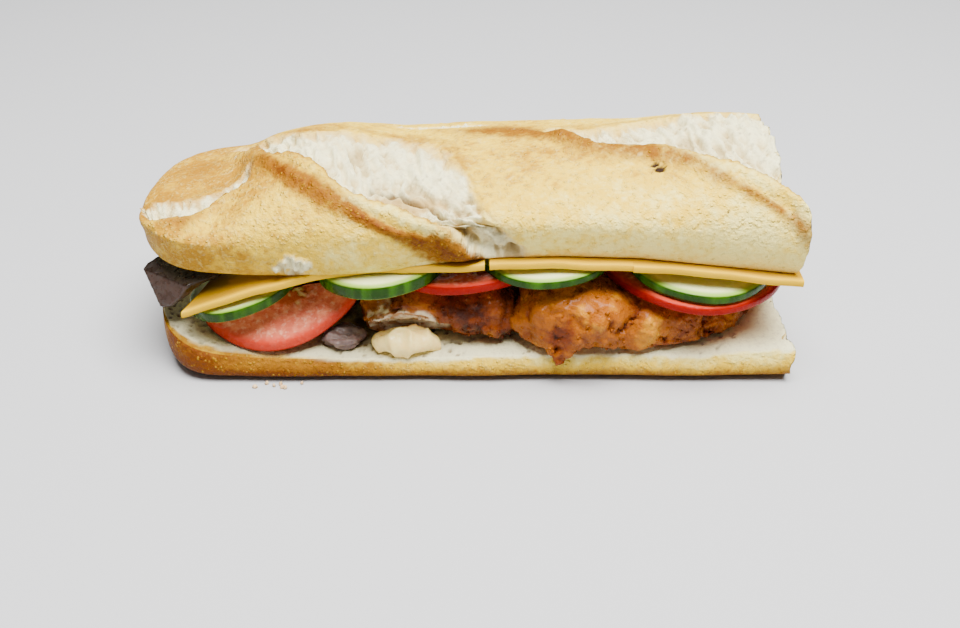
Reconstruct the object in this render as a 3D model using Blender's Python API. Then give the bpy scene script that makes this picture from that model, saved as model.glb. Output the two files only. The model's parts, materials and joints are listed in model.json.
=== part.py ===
"""Chicken escalope sandwich in half a baguette: rounded nose at -X, cut end at +X, open front at -Y.

All shape values are in millimetres, x along the loaf, y from front to back and z up from the base.
Each piece has its own material and stands in its place under one empty. The empty puts the middle of the
base on the origin.
"""

import math

import bmesh
import bpy
import numpy as np
from mathutils import Vector, noise

MM = 0.001

# Colours of the pieces.
CRUST = (0.72, 0.52, 0.26)
CHEESE = (0.86, 0.53, 0.06)
CUCUMBER = (0.18, 0.36, 0.08)
TOMATO = (0.62, 0.10, 0.04)
BATTER = (0.55, 0.25, 0.06)
AUBERGINE = (0.12, 0.08, 0.07)
CREAM = (0.80, 0.70, 0.52)

# Driving dimensions of the loaf.
NOSE_X = -120.0
CUT_X = 109.0
NOSE_LENGTH = 30.0
NOSE_ROUNDNESS = 2.7
NOSE_HEIGHT = 52.0
NOSE_FORWARD = 7.0
NOSE_HEIGHT_POWER = 0.55
CUT_SET_BACK = 7.5
CUT_SET_BACK_START = 60.0
CUT_SET_BACK_SPAN = (0.03, 0.18)
CUT_BACK_BULGE = 0.25
CUT_BACK_BULGE_SPAN = (0.20, 0.55)
LOAF_DEPTH = 84.0
LIP_DROP = 12.0
LIP_ANGLE = math.radians(25)
ARCH_ROUNDNESS = 2.25
ARCH_LENGTH = 128.0
BASE_NOSE_X = -117.0
BASE_CUT_X = 110.5
BASE_NOSE_LENGTH = 24.0
BASE_NOSE_ROUNDNESS = 2.8
BASE_NOSE_FORWARD = 8.0
BASE_HALF_WIDTH = 42.0
BASE_WIDEST_SHARE = 0.45
BASE_CORNER_POWER = 3.2
BASE_TUCK = 0.4
CRUMB_RISE = 0.6

# Room left between pieces, and how the filling keeps below the slices that lie on it.
CLEARANCE = 0.5
RESTING_BELOW = 30.0
COVER_MARGIN = 5.0
COVER_RISE = 0.45

# Profiles along the loaf, each a list of (x, value).
LIP_HEIGHT = [(-120, 43), (-106, 41.8), (-93, 41.2), (-78, 40.8), (-62, 42), (-45, 44.4), (-27, 45.9),
              (2, 48.1), (27, 48.8), (54, 48.1), (75, 45.8), (108, 42.1)]
CROWN_HEIGHT = [(-120, 59), (-100, 58.5), (-88, 60.5), (-77, 68), (-62, 73), (-48, 73.3), (-28, 69.5),
                (0, 70.5), (28, 72), (56, 72.6), (77, 76.4), (90, 78), (108, 77.5)]
LOAF_HALF_WIDTH = [(-120, 37), (-85, 39), (-50, 41), (-20, 41.5), (10, 40.5), (108, 41)]
RIM_HEIGHT = [(-117, 19), (-110, 16.5), (-104, 14), (-98, 12), (-91, 10.4), (-78, 9.2), (-64, 8.8),
              (-28, 8.8), (7, 10.3), (43, 11), (78, 10.4), (112, 13.6)]
CHEESE_UNDERSIDE = [(-104, 24.8), (-99, 26.6), (-80, 34), (-62, 38.6), (-27, 42.7), (2, 44.9), (27, 45.6),
                    (54, 44.9), (75, 42.6), (112, 38.6)]
CHEESE_THICKNESS = 2.6

# Slashes in the crust. Each runs from its start to its end x, between the raised ear and the far edge.
# The edges are lists of (x, share of the way over the arch from the front lip to the back lip).
SLASHES = [
    {"span": (-121, -73), "depth": 2.2, "ear": 0.8, "taper": 5,
     "near": [(-118, 0.15), (-115, 0.20), (-109, 0.275), (-102, 0.285), (-97, 0.34), (-91, 0.364),
              (-86, 0.395), (-81, 0.42), (-74, 0.475)],
     "far": [(-118, 0.28), (-116, 0.34), (-111, 0.387), (-104, 0.396), (-99, 0.42), (-93, 0.436),
             (-88, 0.455), (-83, 0.46), (-74, 0.485)]},
    {"span": (-86, 19), "depth": 3.6, "ear": 2.0, "taper": 14,
     "near": [(-98, 0.68), (-85, 0.58), (-74, 0.487), (-62, 0.439), (-56, 0.414), (-50, 0.36), (-43, 0.319),
              (-33, 0.295), (-26, 0.287), (-20, 0.232), (-14, 0.19), (-10, 0.11), (-4, 0.05), (0, 0.01),
              (19, -0.12)],
     "far": [(-98, 0.70), (-85, 0.66), (-73, 0.616), (-62, 0.572), (-44, 0.572), (-32, 0.553), (-22, 0.54),
             (-14, 0.502), (-7, 0.452), (-3, 0.373), (-1, 0.26), (5, 0.13), (10, 0.09), (16, 0.025),
             (19, 0.0)]},
    {"span": (22, 130), "depth": 3.8, "ear": 1.8, "taper": 9,
     "near": [(14, 0.59), (25, 0.562), (32, 0.536), (35, 0.51), (39, 0.495), (46, 0.479), (60, 0.482),
              (66, 0.453), (73, 0.425), (81, 0.385), (89, 0.361), (97, 0.325), (104, 0.31), (108, 0.28),
              (111, 0.20)],
     "far": [(14, 0.60), (35, 0.57), (48, 0.594), (70, 0.625), (111, 0.64)]},
]
EAR_STEP = 2.2
EAR_WIDTH = 6.0
FAR_STEP = 3.0
HOLLOW_LENGTH = 15.0
HOLLOW_FLOOR = 0.5

# Round slices: middle x and y, radius, height of the middle plane there, thickness, slope along x and y.
CUCUMBERS = {
    "cucumber_front_1": (-84, -20.5, 21, 28.0, 4.4, 0.30, 0.0),
    "cucumber_front_2": (-34.5, -21.5, 22.5, 38.4, 5.4, 0.11, 0.0),
    "cucumber_front_3": (23, -20.5, 23.5, 41.6, 3.4, 0.04, 0.0),
    "cucumber_front_4": (77, -17, 27, 37.7, 3.6, -0.08, 0.06),
    "cucumber_back_1": (-60, 25, 18.5, 34.6, 4.2, 0.17, 0.0),
    "cucumber_back_2": (-10, 25, 18.5, 40.6, 4.2, 0.04, 0.0),
    "cucumber_back_3": (48, 25, 18.5, 41.6, 4.2, -0.02, 0.0),
    "cucumber_back_4": (88.5, 27.5, 16, 38.2, 4.0, -0.07, 0.0),
}
TOMATOES = {
    "tomato_left": (-69.5, -15.7, 28.5, 26.2, 4.4, 0.16, 0.48),
    "tomato_middle": (-5, -13, 27, 33.7, 3.8, 0.08, -0.12),
    "tomato_right": (75.5, -9, 35, 33.3, 3.4, -0.08, 0.04),
    "tomato_back": (-44, 20, 22, 30.2, 4.2, 0.10, 0.0),
}
SLICE_LEVELS = ((-0.5, 0.94), (-0.28, 1.0), (0.28, 1.0), (0.5, 0.94))
SLICE_WAVES = ((0.015, 3), (0.01, 5))
HALF_SLICE_BACK = -20.0

# Cheese slices: start and end x, front and back y, and how much further right the left end is at the back.
CHEESES = {
    "cheese_left": (-103, 1.6, -39.6, 38, 30),
    "cheese_middle": (3.2, 51.2, -39.8, 37, 0),
    "cheese_right": (51.6, 109.5, -40.6, 38, 0),
}
CHEESE_STEP = 7.0
CHEESE_BEVEL = 0.5
CHEESE_WAVE = 0.5
CHEESE_WAVE_RATE = 0.11
CHEESE_DIP_X = -42.0
CHEESE_DIP = 2.2
CHEESE_DIP_LENGTH = 24.0


def profile(knots, x):
    """Value of a profile at x, with rounded bends between its knots."""
    xs = np.array([k[0] for k in knots], float)
    ys = np.array([k[1] for k in knots], float)
    spread = 3.0
    return sum(np.interp(np.asarray(x, float) + d, xs, ys) for d in (-spread, 0.0, spread)) / 3.0


def rise(low, high, value):
    """Smooth step from 0 at low to 1 at high."""
    share = np.clip((np.asarray(value, float) - low) / (high - low), 0.0, 1.0)
    return share * share * (3.0 - 2.0 * share)


def rounded_end(x, start, length, power):
    """Share of the full section at x, near the rounded end of a loaf."""
    left = 1.0 - np.clip((np.asarray(x, float) - start) / length, 0.0, 1.0)
    return np.sqrt(np.clip(1.0 - left**power, 0.0, 1.0))


def bumps(points, size, seed):
    """Smooth noise between -1 and 1 at each point, with features of about the given size."""
    flat = points.reshape(-1, 3) / size
    shift = Vector((seed * 7.3, seed * 3.1, seed * 5.7))
    values = [noise.noise(Vector(p) + shift) for p in flat]
    return np.array(values).reshape(points.shape[:-1])


def loft(name, rings, colour, roughness=0.6, split=None):
    """One closed body through rings of equal count, with a flat face over each end ring.

    Where split(i, j) is given, each four-sided face is cut in two: along i and against j, or along both."""
    count = len(rings[0])
    points = np.array([p for ring in rings for p in ring], float) * MM
    place = (points.min(axis=0) + points.max(axis=0)) / 2
    faces = []
    for i in range(len(rings) - 1):
        for j in range(count):
            k = (j + 1) % count
            a, b = i * count, (i + 1) * count
            corners = (a + j, b + j, b + k, a + k)
            if split is None:
                faces.append(corners)
            elif split(i, j):
                faces += [(corners[0], corners[1], corners[2]), (corners[0], corners[2], corners[3])]
            else:
                faces += [(corners[0], corners[1], corners[3]), (corners[1], corners[2], corners[3])]
    faces.append(tuple(range(count)))
    last = (len(rings) - 1) * count
    faces.append(tuple(last + j for j in reversed(range(count))))
    mesh = bpy.data.meshes.new(name)
    mesh.from_pydata((points - place).tolist(), [], faces)
    face_outwards(mesh)
    mesh.shade_smooth()
    mesh.set_sharp_from_angle(angle=math.radians(40))
    obj = bpy.data.objects.new(name, mesh)
    obj.location = place
    bpy.context.scene.collection.objects.link(obj)
    mesh.materials.append(finish(name + "_finish", colour, roughness))
    return obj


def face_outwards(mesh):
    work = bmesh.new()
    work.from_mesh(mesh)
    bmesh.ops.recalc_face_normals(work, faces=work.faces)
    work.to_mesh(mesh)
    work.free()


def finish(name, colour, roughness):
    material = bpy.data.materials.new(name)
    material.use_nodes = True
    shader = material.node_tree.nodes["Principled BSDF"]
    shader.inputs["Base Color"].default_value = (*colour, 1.0)
    shader.inputs["Roughness"].default_value = roughness
    return material


def arch(x, w):
    """Points of the crust of the upper half: w runs from 0 at the front lip to 1 at the back lip."""
    end = rounded_end(x, NOSE_X, NOSE_LENGTH, NOSE_ROUNDNESS)
    half = profile(LOAF_HALF_WIDTH, x) * end
    angle = -LIP_ANGLE + w * (math.pi + 2 * LIP_ANGLE)
    power = 2 / ARCH_ROUNDNESS
    across, up = np.cos(angle), np.sin(angle)
    y = 1.0 - NOSE_FORWARD * (1 - end) - half * np.sign(across) * np.abs(across) ** power
    depth = np.clip(y / LOAF_DEPTH + 0.5, 0, 1)
    set_back = rise(*CUT_SET_BACK_SPAN, depth) - CUT_BACK_BULGE * rise(*CUT_BACK_BULGE_SPAN, depth)
    x = x - CUT_SET_BACK * set_back * rise(CUT_SET_BACK_START, CUT_X, x)
    lip = profile(LIP_HEIGHT, x)
    height = profile(CROWN_HEIGHT, x) - lip - LIP_DROP
    under = LIP_DROP / math.sin(LIP_ANGLE)
    z = lip + LIP_DROP + np.where(up >= 0, height * np.abs(up) ** power, -under * np.abs(up))
    z = NOSE_HEIGHT + (z - NOSE_HEIGHT) * end**NOSE_HEIGHT_POWER
    return np.stack([x, y, z], axis=-1)


def slash_relief(x, w):
    """Height of the slashed crust above the plain arch, in millimetres."""
    total = np.zeros_like(x)
    around = ARCH_LENGTH * rounded_end(x, NOSE_X, NOSE_LENGTH, NOSE_ROUNDNESS)
    for slash in SLASHES:
        start, end = slash["span"]
        fade = rise(start, start + slash["taper"], x) * (1 - rise(end - slash["taper"], end, x))
        near, far = profile(slash["near"], x), profile(slash["far"], x)
        slope = (profile(slash["near"], x + 1) - near) * around
        past_ear = (w - near) * around / np.sqrt(1 + slope**2)
        before_far = (far - w) * around
        step = rise(0, EAR_STEP, past_ear)
        hollow = slash["depth"] * np.exp(-np.clip(past_ear, 0, None) / HOLLOW_LENGTH) + HOLLOW_FLOOR
        inside = step * rise(0, FAR_STEP, before_far)
        lifted = np.exp(-((np.clip(past_ear, None, 0) / EAR_WIDTH) ** 2)) * (1 - step)
        total += fade * (slash["ear"] * lifted - hollow * inside)
    return total


def outward(points):
    """Unit normals of a grid of points, pointing away from the middle of the loaf."""
    along = np.gradient(points, axis=0)
    over = np.gradient(points, axis=1)
    normal = np.cross(along, over)
    normal /= np.linalg.norm(normal, axis=-1, keepdims=True) + 1e-9
    return -normal if normal[len(points) // 2, points.shape[1] // 2, 2] < 0 else normal


def nose_stations(start, end, nose_length, count, nose_count):
    """Positions along a loaf, closer together round its nose."""
    turn = np.linspace(0.10, math.pi / 2, nose_count)
    nose = start + nose_length * (1 - np.cos(turn))
    return np.concatenate([nose, np.linspace(nose[-1], end, count - nose_count + 1)[1:]])


def along_the_ears(x, w):
    """The grid's shares w, with the nearest line of points moved onto the ear of each slash."""
    step = w[0, 1] - w[0, 0]
    for slash in SLASHES:
        start, end = slash["span"]
        for i, share in enumerate(profile(slash["near"], x[:, 0])):
            column = int(round(share / step))
            if start < x[i, 0] < end and 0 < column < w.shape[1] - 1:
                w[i, column] = share
    return w


def make_top_bread():
    xs = nose_stations(NOSE_X, CUT_X, NOSE_LENGTH, 54, 9)
    ws = np.linspace(0.0, 1.0, 35)
    x, w = np.meshgrid(xs, ws, indexing="ij")
    w = along_the_ears(x, w)
    crust = arch(x, w)
    lift = slash_relief(x, w) + 0.6 * bumps(crust, 26.0, 1)
    edge = rise(0.0, 0.05, w) * rise(0.0, 0.05, 1 - w)
    crust = crust + outward(crust) * (lift * edge)[..., None]
    rings = []
    for row in crust:
        front, back = row[0], row[-1]
        under = [back + (front - back) * share for share in (0.15, 0.38, 0.62, 0.85)]
        rings.append([*row, *under])
    first_slash_end = SLASHES[0]["span"][1]
    return loft("top_bread", rings, CRUST, split=lambda i, j: xs[i] < first_slash_end)


def crumb_height(x):
    """Height of the cut face of the lower half."""
    return profile(RIM_HEIGHT, x) + CRUMB_RISE


def make_bottom_bread():
    xs = nose_stations(BASE_NOSE_X, BASE_CUT_X, BASE_NOSE_LENGTH, 40, 10)
    rings = []
    for x in xs:
        end = float(rounded_end(x, BASE_NOSE_X, BASE_NOSE_LENGTH, BASE_NOSE_ROUNDNESS))
        rim = float(profile(RIM_HEIGHT, x))
        floor = rim * 0.72 * (1 - end) ** 0.9
        middle = -BASE_NOSE_FORWARD * (1 - end)
        half = BASE_HALF_WIDTH * max(end, 0.05)
        ring = [(x, middle + y, z) for y, z in base_side(half, rim, floor)]
        ring += [(x, middle + half * share, rim + CRUMB_RISE) for share in (0.88, 0.5, 0.0, -0.5, -0.88)]
        rings.append(ring)
    return loft("bottom_bread", rings, CRUST)


def base_side(half, rim, floor):
    """Outline of the lower crust from its front rim under the loaf to its back rim, as (y, z)."""
    power = 2 / BASE_CORNER_POWER
    widest = floor + BASE_WIDEST_SHARE * (rim - floor)
    outline = []
    for angle in np.linspace(-BASE_TUCK, math.pi + BASE_TUCK, 21):
        across, down = math.cos(angle), math.sin(angle)
        y = -half * math.copysign(abs(across) ** power, across)
        if down < 0:
            z = widest - (rim - widest) * down / math.sin(BASE_TUCK)
        else:
            z = widest - (widest - floor) * min(1.0, 1.05 * down**power)
        outline.append((y, max(z, 0.0)))
    return outline


def make_slice(name, spec, sides, colour, cut_back=None):
    """A round slice, or the front half of one where cut_back gives the y of its straight edge."""
    cx, cy, radius, height, thickness, slope_x, slope_y = spec
    rings = []
    for level, share in SLICE_LEVELS:
        ring = []
        for j in range(sides):
            angle = 2 * math.pi * j / sides
            wave = 1 + sum(size * math.sin(turns * angle + cx) for size, turns in SLICE_WAVES)
            dx = radius * share * wave * math.cos(angle) / math.hypot(1, slope_x)
            dy = radius * share * wave * math.sin(angle) / math.hypot(1, slope_y)
            if cut_back is not None:
                dy = min(dy, cut_back - cy - (1 - share) * radius)
            z = height + slope_x * dx + slope_y * dy + level * thickness
            ring.append((cx + dx, cy + dy, z))
        rings.append(ring)
    return loft(name, rings, colour, 0.35)


def make_cheese(name, spec):
    start, end, front, back, lean = spec
    bevel, thick = CHEESE_BEVEL, CHEESE_THICKNESS
    rings = []
    for x in np.linspace(start, end, max(8, int((end - start) / CHEESE_STEP))):
        wave = CHEESE_WAVE * math.sin(x * CHEESE_WAVE_RATE)
        dip = CHEESE_DIP * math.exp(-(((x - CHEESE_DIP_X) / CHEESE_DIP_LENGTH) ** 2))
        y0, y1 = front + wave + dip, back - wave
        ring = [(y0, bevel), (y0, thick - bevel), (y0 + bevel, thick)]
        ring += [(y0 + (y1 - y0) * s, thick) for s in (0.3, 0.7)]
        ring += [(y1 - bevel, thick), (y1, thick - bevel), (y1, bevel), (y1 - bevel, 0)]
        ring += [(y0 + (y1 - y0) * s, 0) for s in (0.7, 0.3)]
        ring += [(y0 + bevel, 0)]
        lean_here = lean * (end - x) / (end - start)
        rings.append([on_cheese(x + lean_here * (y - y0) / (y1 - y0), y, z) for y, z in ring])
    return loft(name, rings, CHEESE, 0.35)


def on_cheese(x, y, z):
    """A point z above the underside of the cheese."""
    return x, y, float(profile(CHEESE_UNDERSIDE, x)) + z


def fold(rings_spec, sides, roundness):
    """Rings of a lumpy piece: each spec is x, middle y, half depth, bottom z, top z."""
    rings = []
    for x, cy, half, low, high in rings_spec:
        ring = []
        for j in range(sides):
            angle = -2 * math.pi * j / sides
            across, up = math.cos(angle), math.sin(angle)
            power = 2 / roundness
            y = cy + half * math.copysign(abs(across) ** power, across)
            z = (low + high) / 2 + (high - low) / 2 * math.copysign(abs(up) ** power, up)
            ring.append((x, y, z))
        rings.append(ring)
    return np.array(rings, float)


def ceiling(x, y):
    """Highest level of what lies under the slices: clear of each slice, and rising away from its edge."""
    level = profile(CHEESE_UNDERSIDE, x) - CLEARANCE
    for cx, cy, radius, height, thickness, slope_x, slope_y in [*TOMATOES.values(), *CUCUMBERS.values()]:
        under = height + slope_x * (x - cx) + slope_y * (y - cy) - thickness / 2 - CLEARANCE
        beyond = np.clip(np.hypot(x - cx, y - cy) - radius - COVER_MARGIN, 0, None)
        level = np.minimum(level, under + COVER_RISE * beyond)
    return level


# The coating hangs over the rim at one place, as far down and forwards as these say.
DRIP_X = 27.5
DRIP_HALF_LENGTH = 6.0
DRIP_FRONT = -45.5
DRIP_BACK = -41.3
DRIP_DEPTH = 6.5
DRIP_DEPTH_SPAN = 3.0
DRIP_PULL_FRONT = (27.0, 31.0)
DRIP_PULL_HEIGHT = (14.0, 25.0)
DRIP_HANG_FRONT = (30.0, 38.0)

# The coating is torn open at one place, and its foot is set back behind the mayonnaise.
TEAR_X = -26.0
TEAR_HEIGHT = 20.0
TEAR_DEPTH = 5.0
TEAR_HALF_LENGTH = 9.0
TEAR_HALF_HEIGHT = 5.0
TEAR_FRONT = (20.0, 28.0)
FOOT_START = (-43.0, -39.0)
FOOT_END = (-13.0, -7.0)
FOOT_FRONT = -27.0
FOOT_TOP = (16.0, 21.0)

# Front edge of the coating where it lies on the crumb, as (x, y).
COATING_FOOT = [(13, -36), (18, -40.5), (60, -41.5), (70, -39.5), (78, -37), (90, -29), (101, -19)]
FOOT_REACH = (0.5, 0.85)
FOOT_LEVEL = (0.1, 0.6)

# Crags of the fried coating: height and width of the large and of the small ones. They are lower where the
# meat faces inwards, and lean little along the loaf.
LARGE_CRAG = (2.2, 13.0)
SMALL_CRAG = (1.2, 7.0)
CRAG_LEAN = 0.3
CRAG_FRONT = (26.0, 33.0)
CRAG_INNER_SHARE = 0.25
CRAG_SWELL = 1.2
LUMP_CRAG = (0.4, 7.0)

# Lumps of filling: each row is x, middle y, half depth, bottom z, top z.
ESCALOPE_LEFT = [(-42, -22, 5, 16, 24), (-40.5, -20, 12, 12, 28), (-36, -12, 23, 10, 29.5),
                 (-28, -5, 31, 9.8, 31), (-18, -1, 34.5, 9.8, 32.5), (-8, 1, 35, 10, 33.5),
                 (2, 1, 36, 11, 34), (8, -2, 34, 11.5, 34), (11, -4, 28, 13, 31), (12.4, -6, 18, 17, 26)]
ESCALOPE_RIGHT = [(13.2, -8, 22, 17, 28), (14.6, -4, 32, 13.5, 31), (20, -3, 38, 12, 32),
                  (27, -3.5, 40, 11.8, 38), (36, -3.5, 39.5, 11.8, 37), (46, -3, 38, 11.8, 34),
                  (58, -2.5, 36, 11.6, 31.5), (70, 0, 36, 11.4, 30), (82, 3, 33.5, 11.8, 29),
                  (92, 6, 30, 13, 28), (98, 6, 24, 14.5, 26.5), (101, 5, 15, 17, 25)]


def spread(spec, count):
    """More ring specs between the given ones, rounded by a smooth curve."""
    table = np.array(spec, float)
    xs = np.linspace(table[0, 0], table[-1, 0], count)
    ends = table[:, 0]
    near = np.unique(np.concatenate([xs[1:-1], ends[[0, 1, -2, -1]]]))
    return [[x] + [float(np.interp(x, ends, table[:, c])) for c in range(1, 5)] for x in near]


def torn_hollow(points):
    """How far the front of the meat is set back where its coating is torn open, above the mayonnaise."""
    x, y, z = points[..., 0], points[..., 1], points[..., 2]
    near = ((x - TEAR_X) / TEAR_HALF_LENGTH) ** 2 + ((z - TEAR_HEIGHT) / TEAR_HALF_HEIGHT) ** 2
    tear = TEAR_DEPTH * np.exp(-near) * rise(*TEAR_FRONT, -y)
    foot = rise(*FOOT_START, x) * (1 - rise(*FOOT_END, x)) * (1 - rise(*FOOT_TOP, z))
    return tear + foot * np.clip(FOOT_FRONT - y - tear, 0, None)


def hang_drip(rings):
    """Pulls the lower front of the coating forwards and down over the rim of the bread, at one place."""
    x, y, z = rings[..., 0], rings[..., 1], rings[..., 2]
    along = np.exp(-(((x - DRIP_X) / DRIP_HALF_LENGTH) ** 2))
    pull = along * rise(*DRIP_PULL_FRONT, -y) * (1 - rise(*DRIP_PULL_HEIGHT, z))
    hanging = DRIP_BACK + (DRIP_FRONT - DRIP_BACK) * rise(*DRIP_HANG_FRONT, -y)
    rings[..., 1] = y + (hanging - y) * pull
    rings[..., 2] = z - DRIP_DEPTH * pull * rise(0, DRIP_DEPTH_SPAN, DRIP_BACK - rings[..., 1])


def spread_foot(rings):
    """Brings the lower front of the coating forwards to where it lies on the crumb."""
    x, y, z = rings[..., 0], rings[..., 1], rings[..., 2]
    low, high = rings.min(axis=1, keepdims=True), rings.max(axis=1, keepdims=True)
    towards_front = 1 - 2 * (y - low[..., 1]) / (high[..., 1] - low[..., 1])
    level = (z - low[..., 2]) / (high[..., 2] - low[..., 2])
    share = rise(*FOOT_REACH, towards_front) * (1 - rise(*FOOT_LEVEL, level))
    rings[..., 1] = y + np.minimum(profile(COATING_FOOT, x) - y, 0) * share


def make_meat(name, spec, count, sides, seed):
    rings = fold(spread(spec, count), sides, 2.9)
    centre = rings.mean(axis=1, keepdims=True)
    away = rings - centre
    away[..., 0] *= CRAG_LEAN
    away /= np.linalg.norm(away, axis=-1, keepdims=True) + 1e-9
    crag = sum(height * bumps(rings, width, seed) for height, width in (LARGE_CRAG, SMALL_CRAG))
    front = rise(*CRAG_FRONT, np.abs(rings[..., 1] + 2))
    crag *= CRAG_INNER_SHARE + (1 - CRAG_INNER_SHARE) * front
    rings = rings + away * (crag + CRAG_SWELL * front)[..., None]
    rings[..., 1] += torn_hollow(rings)
    x, y, z = rings[..., 0], rings[..., 1], rings[..., 2]
    rings[..., 2] = np.minimum(np.maximum(z, crumb_height(x) + CLEARANCE), ceiling(x, y))
    hang_drip(rings)
    if name == "escalope_right":
        spread_foot(rings)
    return loft(name, [list(ring) for ring in rings], BATTER, 0.4)


AUBERGINE_END = [(-118, -25, 4, 29, 34), (-116.5, -25, 8, 26, 37.5), (-112, -24, 11, 23.8, 39.4),
                 (-107, -23, 12.5, 23.4, 40), (-101, -22, 13, 29.0, 40), (-96.5, -20, 13, 33, 39.8),
                 (-90, -19, 12, 35.6, 39.6), (-86, -18, 9, 37, 39)]
AUBERGINE_UNDER = [(-93, 0, 10, 14, 18), (-91, 1, 17, 12, 21), (-84, 2, 20, 10.6, 24.5),
                   (-70, 3, 21, 10.2, 27), (-56, 3, 21, 10.2, 28), (-47, 2, 18, 10.6, 27),
                   (-44.4, 1, 10, 13, 23)]
AUBERGINE_BIT = [(-55, -30, 3, 11.5, 14.5), (-53.5, -30.5, 5, 10, 16), (-49, -31, 6, 9.9, 17),
                 (-45, -31, 5.5, 9.9, 16), (-43.4, -31, 3, 11, 14)]
MAYONNAISE = [(-38, -34, 2, 10.5, 12), (-36, -34.5, 4, 9.9, 14), (-30, -35, 5.6, 9.9, 15.4),
              (-24, -35.2, 5.8, 9.9, 15.2), (-18, -34.6, 4.4, 9.9, 13.6), (-14.5, -34, 2, 10.4, 12)]


def make_lump(name, spec, count, sides, colour, seed, roundness=2.6):
    rings = fold(spread(spec, count), sides, roundness)
    centre = rings.mean(axis=1, keepdims=True)
    away = rings - centre
    away /= np.linalg.norm(away, axis=-1, keepdims=True) + 1e-9
    height, width = LUMP_CRAG
    rings = rings + away * (height * bumps(rings, width, seed))[..., None]
    x, y, z = rings[..., 0], rings[..., 1], rings[..., 2]
    if z.mean() < RESTING_BELOW:
        z = np.minimum(z, ceiling(x, y))
    rings[..., 2] = np.maximum(z, crumb_height(x) + CLEARANCE)
    return loft(name, [list(ring) for ring in rings], colour, 0.4)


def place_under_empty(objects):
    """Hangs every piece on an empty that puts the middle of the base on the origin."""
    corners = np.array([np.array(v.co) + np.array(o.location) for o in objects for v in o.data.vertices])
    low, high = corners.min(axis=0), corners.max(axis=0)
    holder = bpy.data.objects.new("sandwich", None)
    holder.location = (-(low[0] + high[0]) / 2, -(low[1] + high[1]) / 2, -low[2])
    bpy.context.scene.collection.objects.link(holder)
    for obj in objects:
        obj.parent = holder


def main():
    for obj in list(bpy.data.objects):
        bpy.data.objects.remove(obj)
    pieces = [make_top_bread(), make_bottom_bread()]
    pieces += [make_cheese(name, spec) for name, spec in CHEESES.items()]
    pieces += [make_slice(name, spec, 28, CUCUMBER) for name, spec in CUCUMBERS.items()]
    for name, spec in TOMATOES.items():
        cut_back = HALF_SLICE_BACK if name == "tomato_left" else None
        pieces.append(make_slice(name, spec, 32, TOMATO, cut_back))
    pieces.append(make_meat("escalope_left", ESCALOPE_LEFT, 19, 26, 2))
    pieces.append(make_meat("escalope_right", ESCALOPE_RIGHT, 28, 26, 4))
    pieces.append(make_lump("aubergine_end", AUBERGINE_END, 12, 14, AUBERGINE, 5))
    pieces.append(make_lump("aubergine_under", AUBERGINE_UNDER, 14, 14, AUBERGINE, 6))
    pieces.append(make_lump("aubergine_bit", AUBERGINE_BIT, 7, 10, AUBERGINE, 7))
    pieces.append(make_lump("mayonnaise", MAYONNAISE, 12, 14, CREAM, 8, 2.2))
    place_under_empty(pieces)


main()
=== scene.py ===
"""Chicken escalope sandwich in half a baguette: the finish of every piece, the light and the camera."""

import itertools
import json
import math

import bmesh
import bpy
import numpy as np
from bpy.props import FloatProperty, FloatVectorProperty, IntProperty, PointerProperty
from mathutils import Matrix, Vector

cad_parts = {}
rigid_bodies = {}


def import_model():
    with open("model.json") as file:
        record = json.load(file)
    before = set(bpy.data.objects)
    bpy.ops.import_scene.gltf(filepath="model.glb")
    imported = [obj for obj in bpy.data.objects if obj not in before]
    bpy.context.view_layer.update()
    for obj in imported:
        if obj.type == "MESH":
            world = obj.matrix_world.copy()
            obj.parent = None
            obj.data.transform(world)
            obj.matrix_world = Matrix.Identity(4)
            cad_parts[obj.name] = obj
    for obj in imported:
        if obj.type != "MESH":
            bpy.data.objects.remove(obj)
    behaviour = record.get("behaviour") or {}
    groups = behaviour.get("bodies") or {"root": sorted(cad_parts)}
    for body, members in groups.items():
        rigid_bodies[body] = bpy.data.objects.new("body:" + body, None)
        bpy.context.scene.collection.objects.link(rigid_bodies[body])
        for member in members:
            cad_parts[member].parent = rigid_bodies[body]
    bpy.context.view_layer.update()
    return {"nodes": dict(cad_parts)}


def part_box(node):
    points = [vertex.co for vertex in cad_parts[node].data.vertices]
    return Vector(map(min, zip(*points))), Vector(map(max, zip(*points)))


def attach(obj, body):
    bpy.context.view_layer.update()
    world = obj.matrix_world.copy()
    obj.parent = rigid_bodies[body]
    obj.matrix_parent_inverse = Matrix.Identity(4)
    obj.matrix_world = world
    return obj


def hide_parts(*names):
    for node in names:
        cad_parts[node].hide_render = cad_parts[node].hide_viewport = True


bl_info = {
    "name": "Escalope sandwich",
    "version": (1, 0, 0),
    "blender": (4, 5, 0),
    "location": "3D View > Sidebar > Sandwich",
    "description": "Bakes the bread, fries the chicken and lays the slices of a filled half baguette",
    "category": "Object",
}

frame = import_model()

MM = 0.001

# Loaf: nose at the low end of x, cut at the high end, in millimetres.
NOSE_X = -120.0
CUT_X = 109.0
NOSE_LENGTH = 30.0
NOSE_ROUNDNESS = 2.7
NOSE_HEIGHT = 52.0
NOSE_FORWARD = 7.0
NOSE_HEIGHT_POWER = 0.55
CUT_SET_BACK = 7.5
CUT_SET_BACK_START = 60.0
CUT_SET_BACK_SPAN = (0.03, 0.18)
CUT_BACK_BULGE = 0.25
CUT_BACK_BULGE_SPAN = (0.20, 0.55)
LOAF_DEPTH = 84.0
LIP_DROP = 12.0
LIP_ANGLE = math.radians(25)
ARCH_ROUNDNESS = 2.25
ARCH_LENGTH = 128.0
BASE_NOSE_X = -117.0
BASE_CUT_X = 110.5
BASE_NOSE_LENGTH = 24.0
BASE_NOSE_ROUNDNESS = 2.8
BASE_NOSE_FORWARD = 8.0
BASE_HALF_WIDTH = 42.0
BASE_WIDEST_SHARE = 0.45
BASE_CORNER_POWER = 3.2
BASE_TUCK = 0.4
CRUMB_RISE = 0.6

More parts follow.
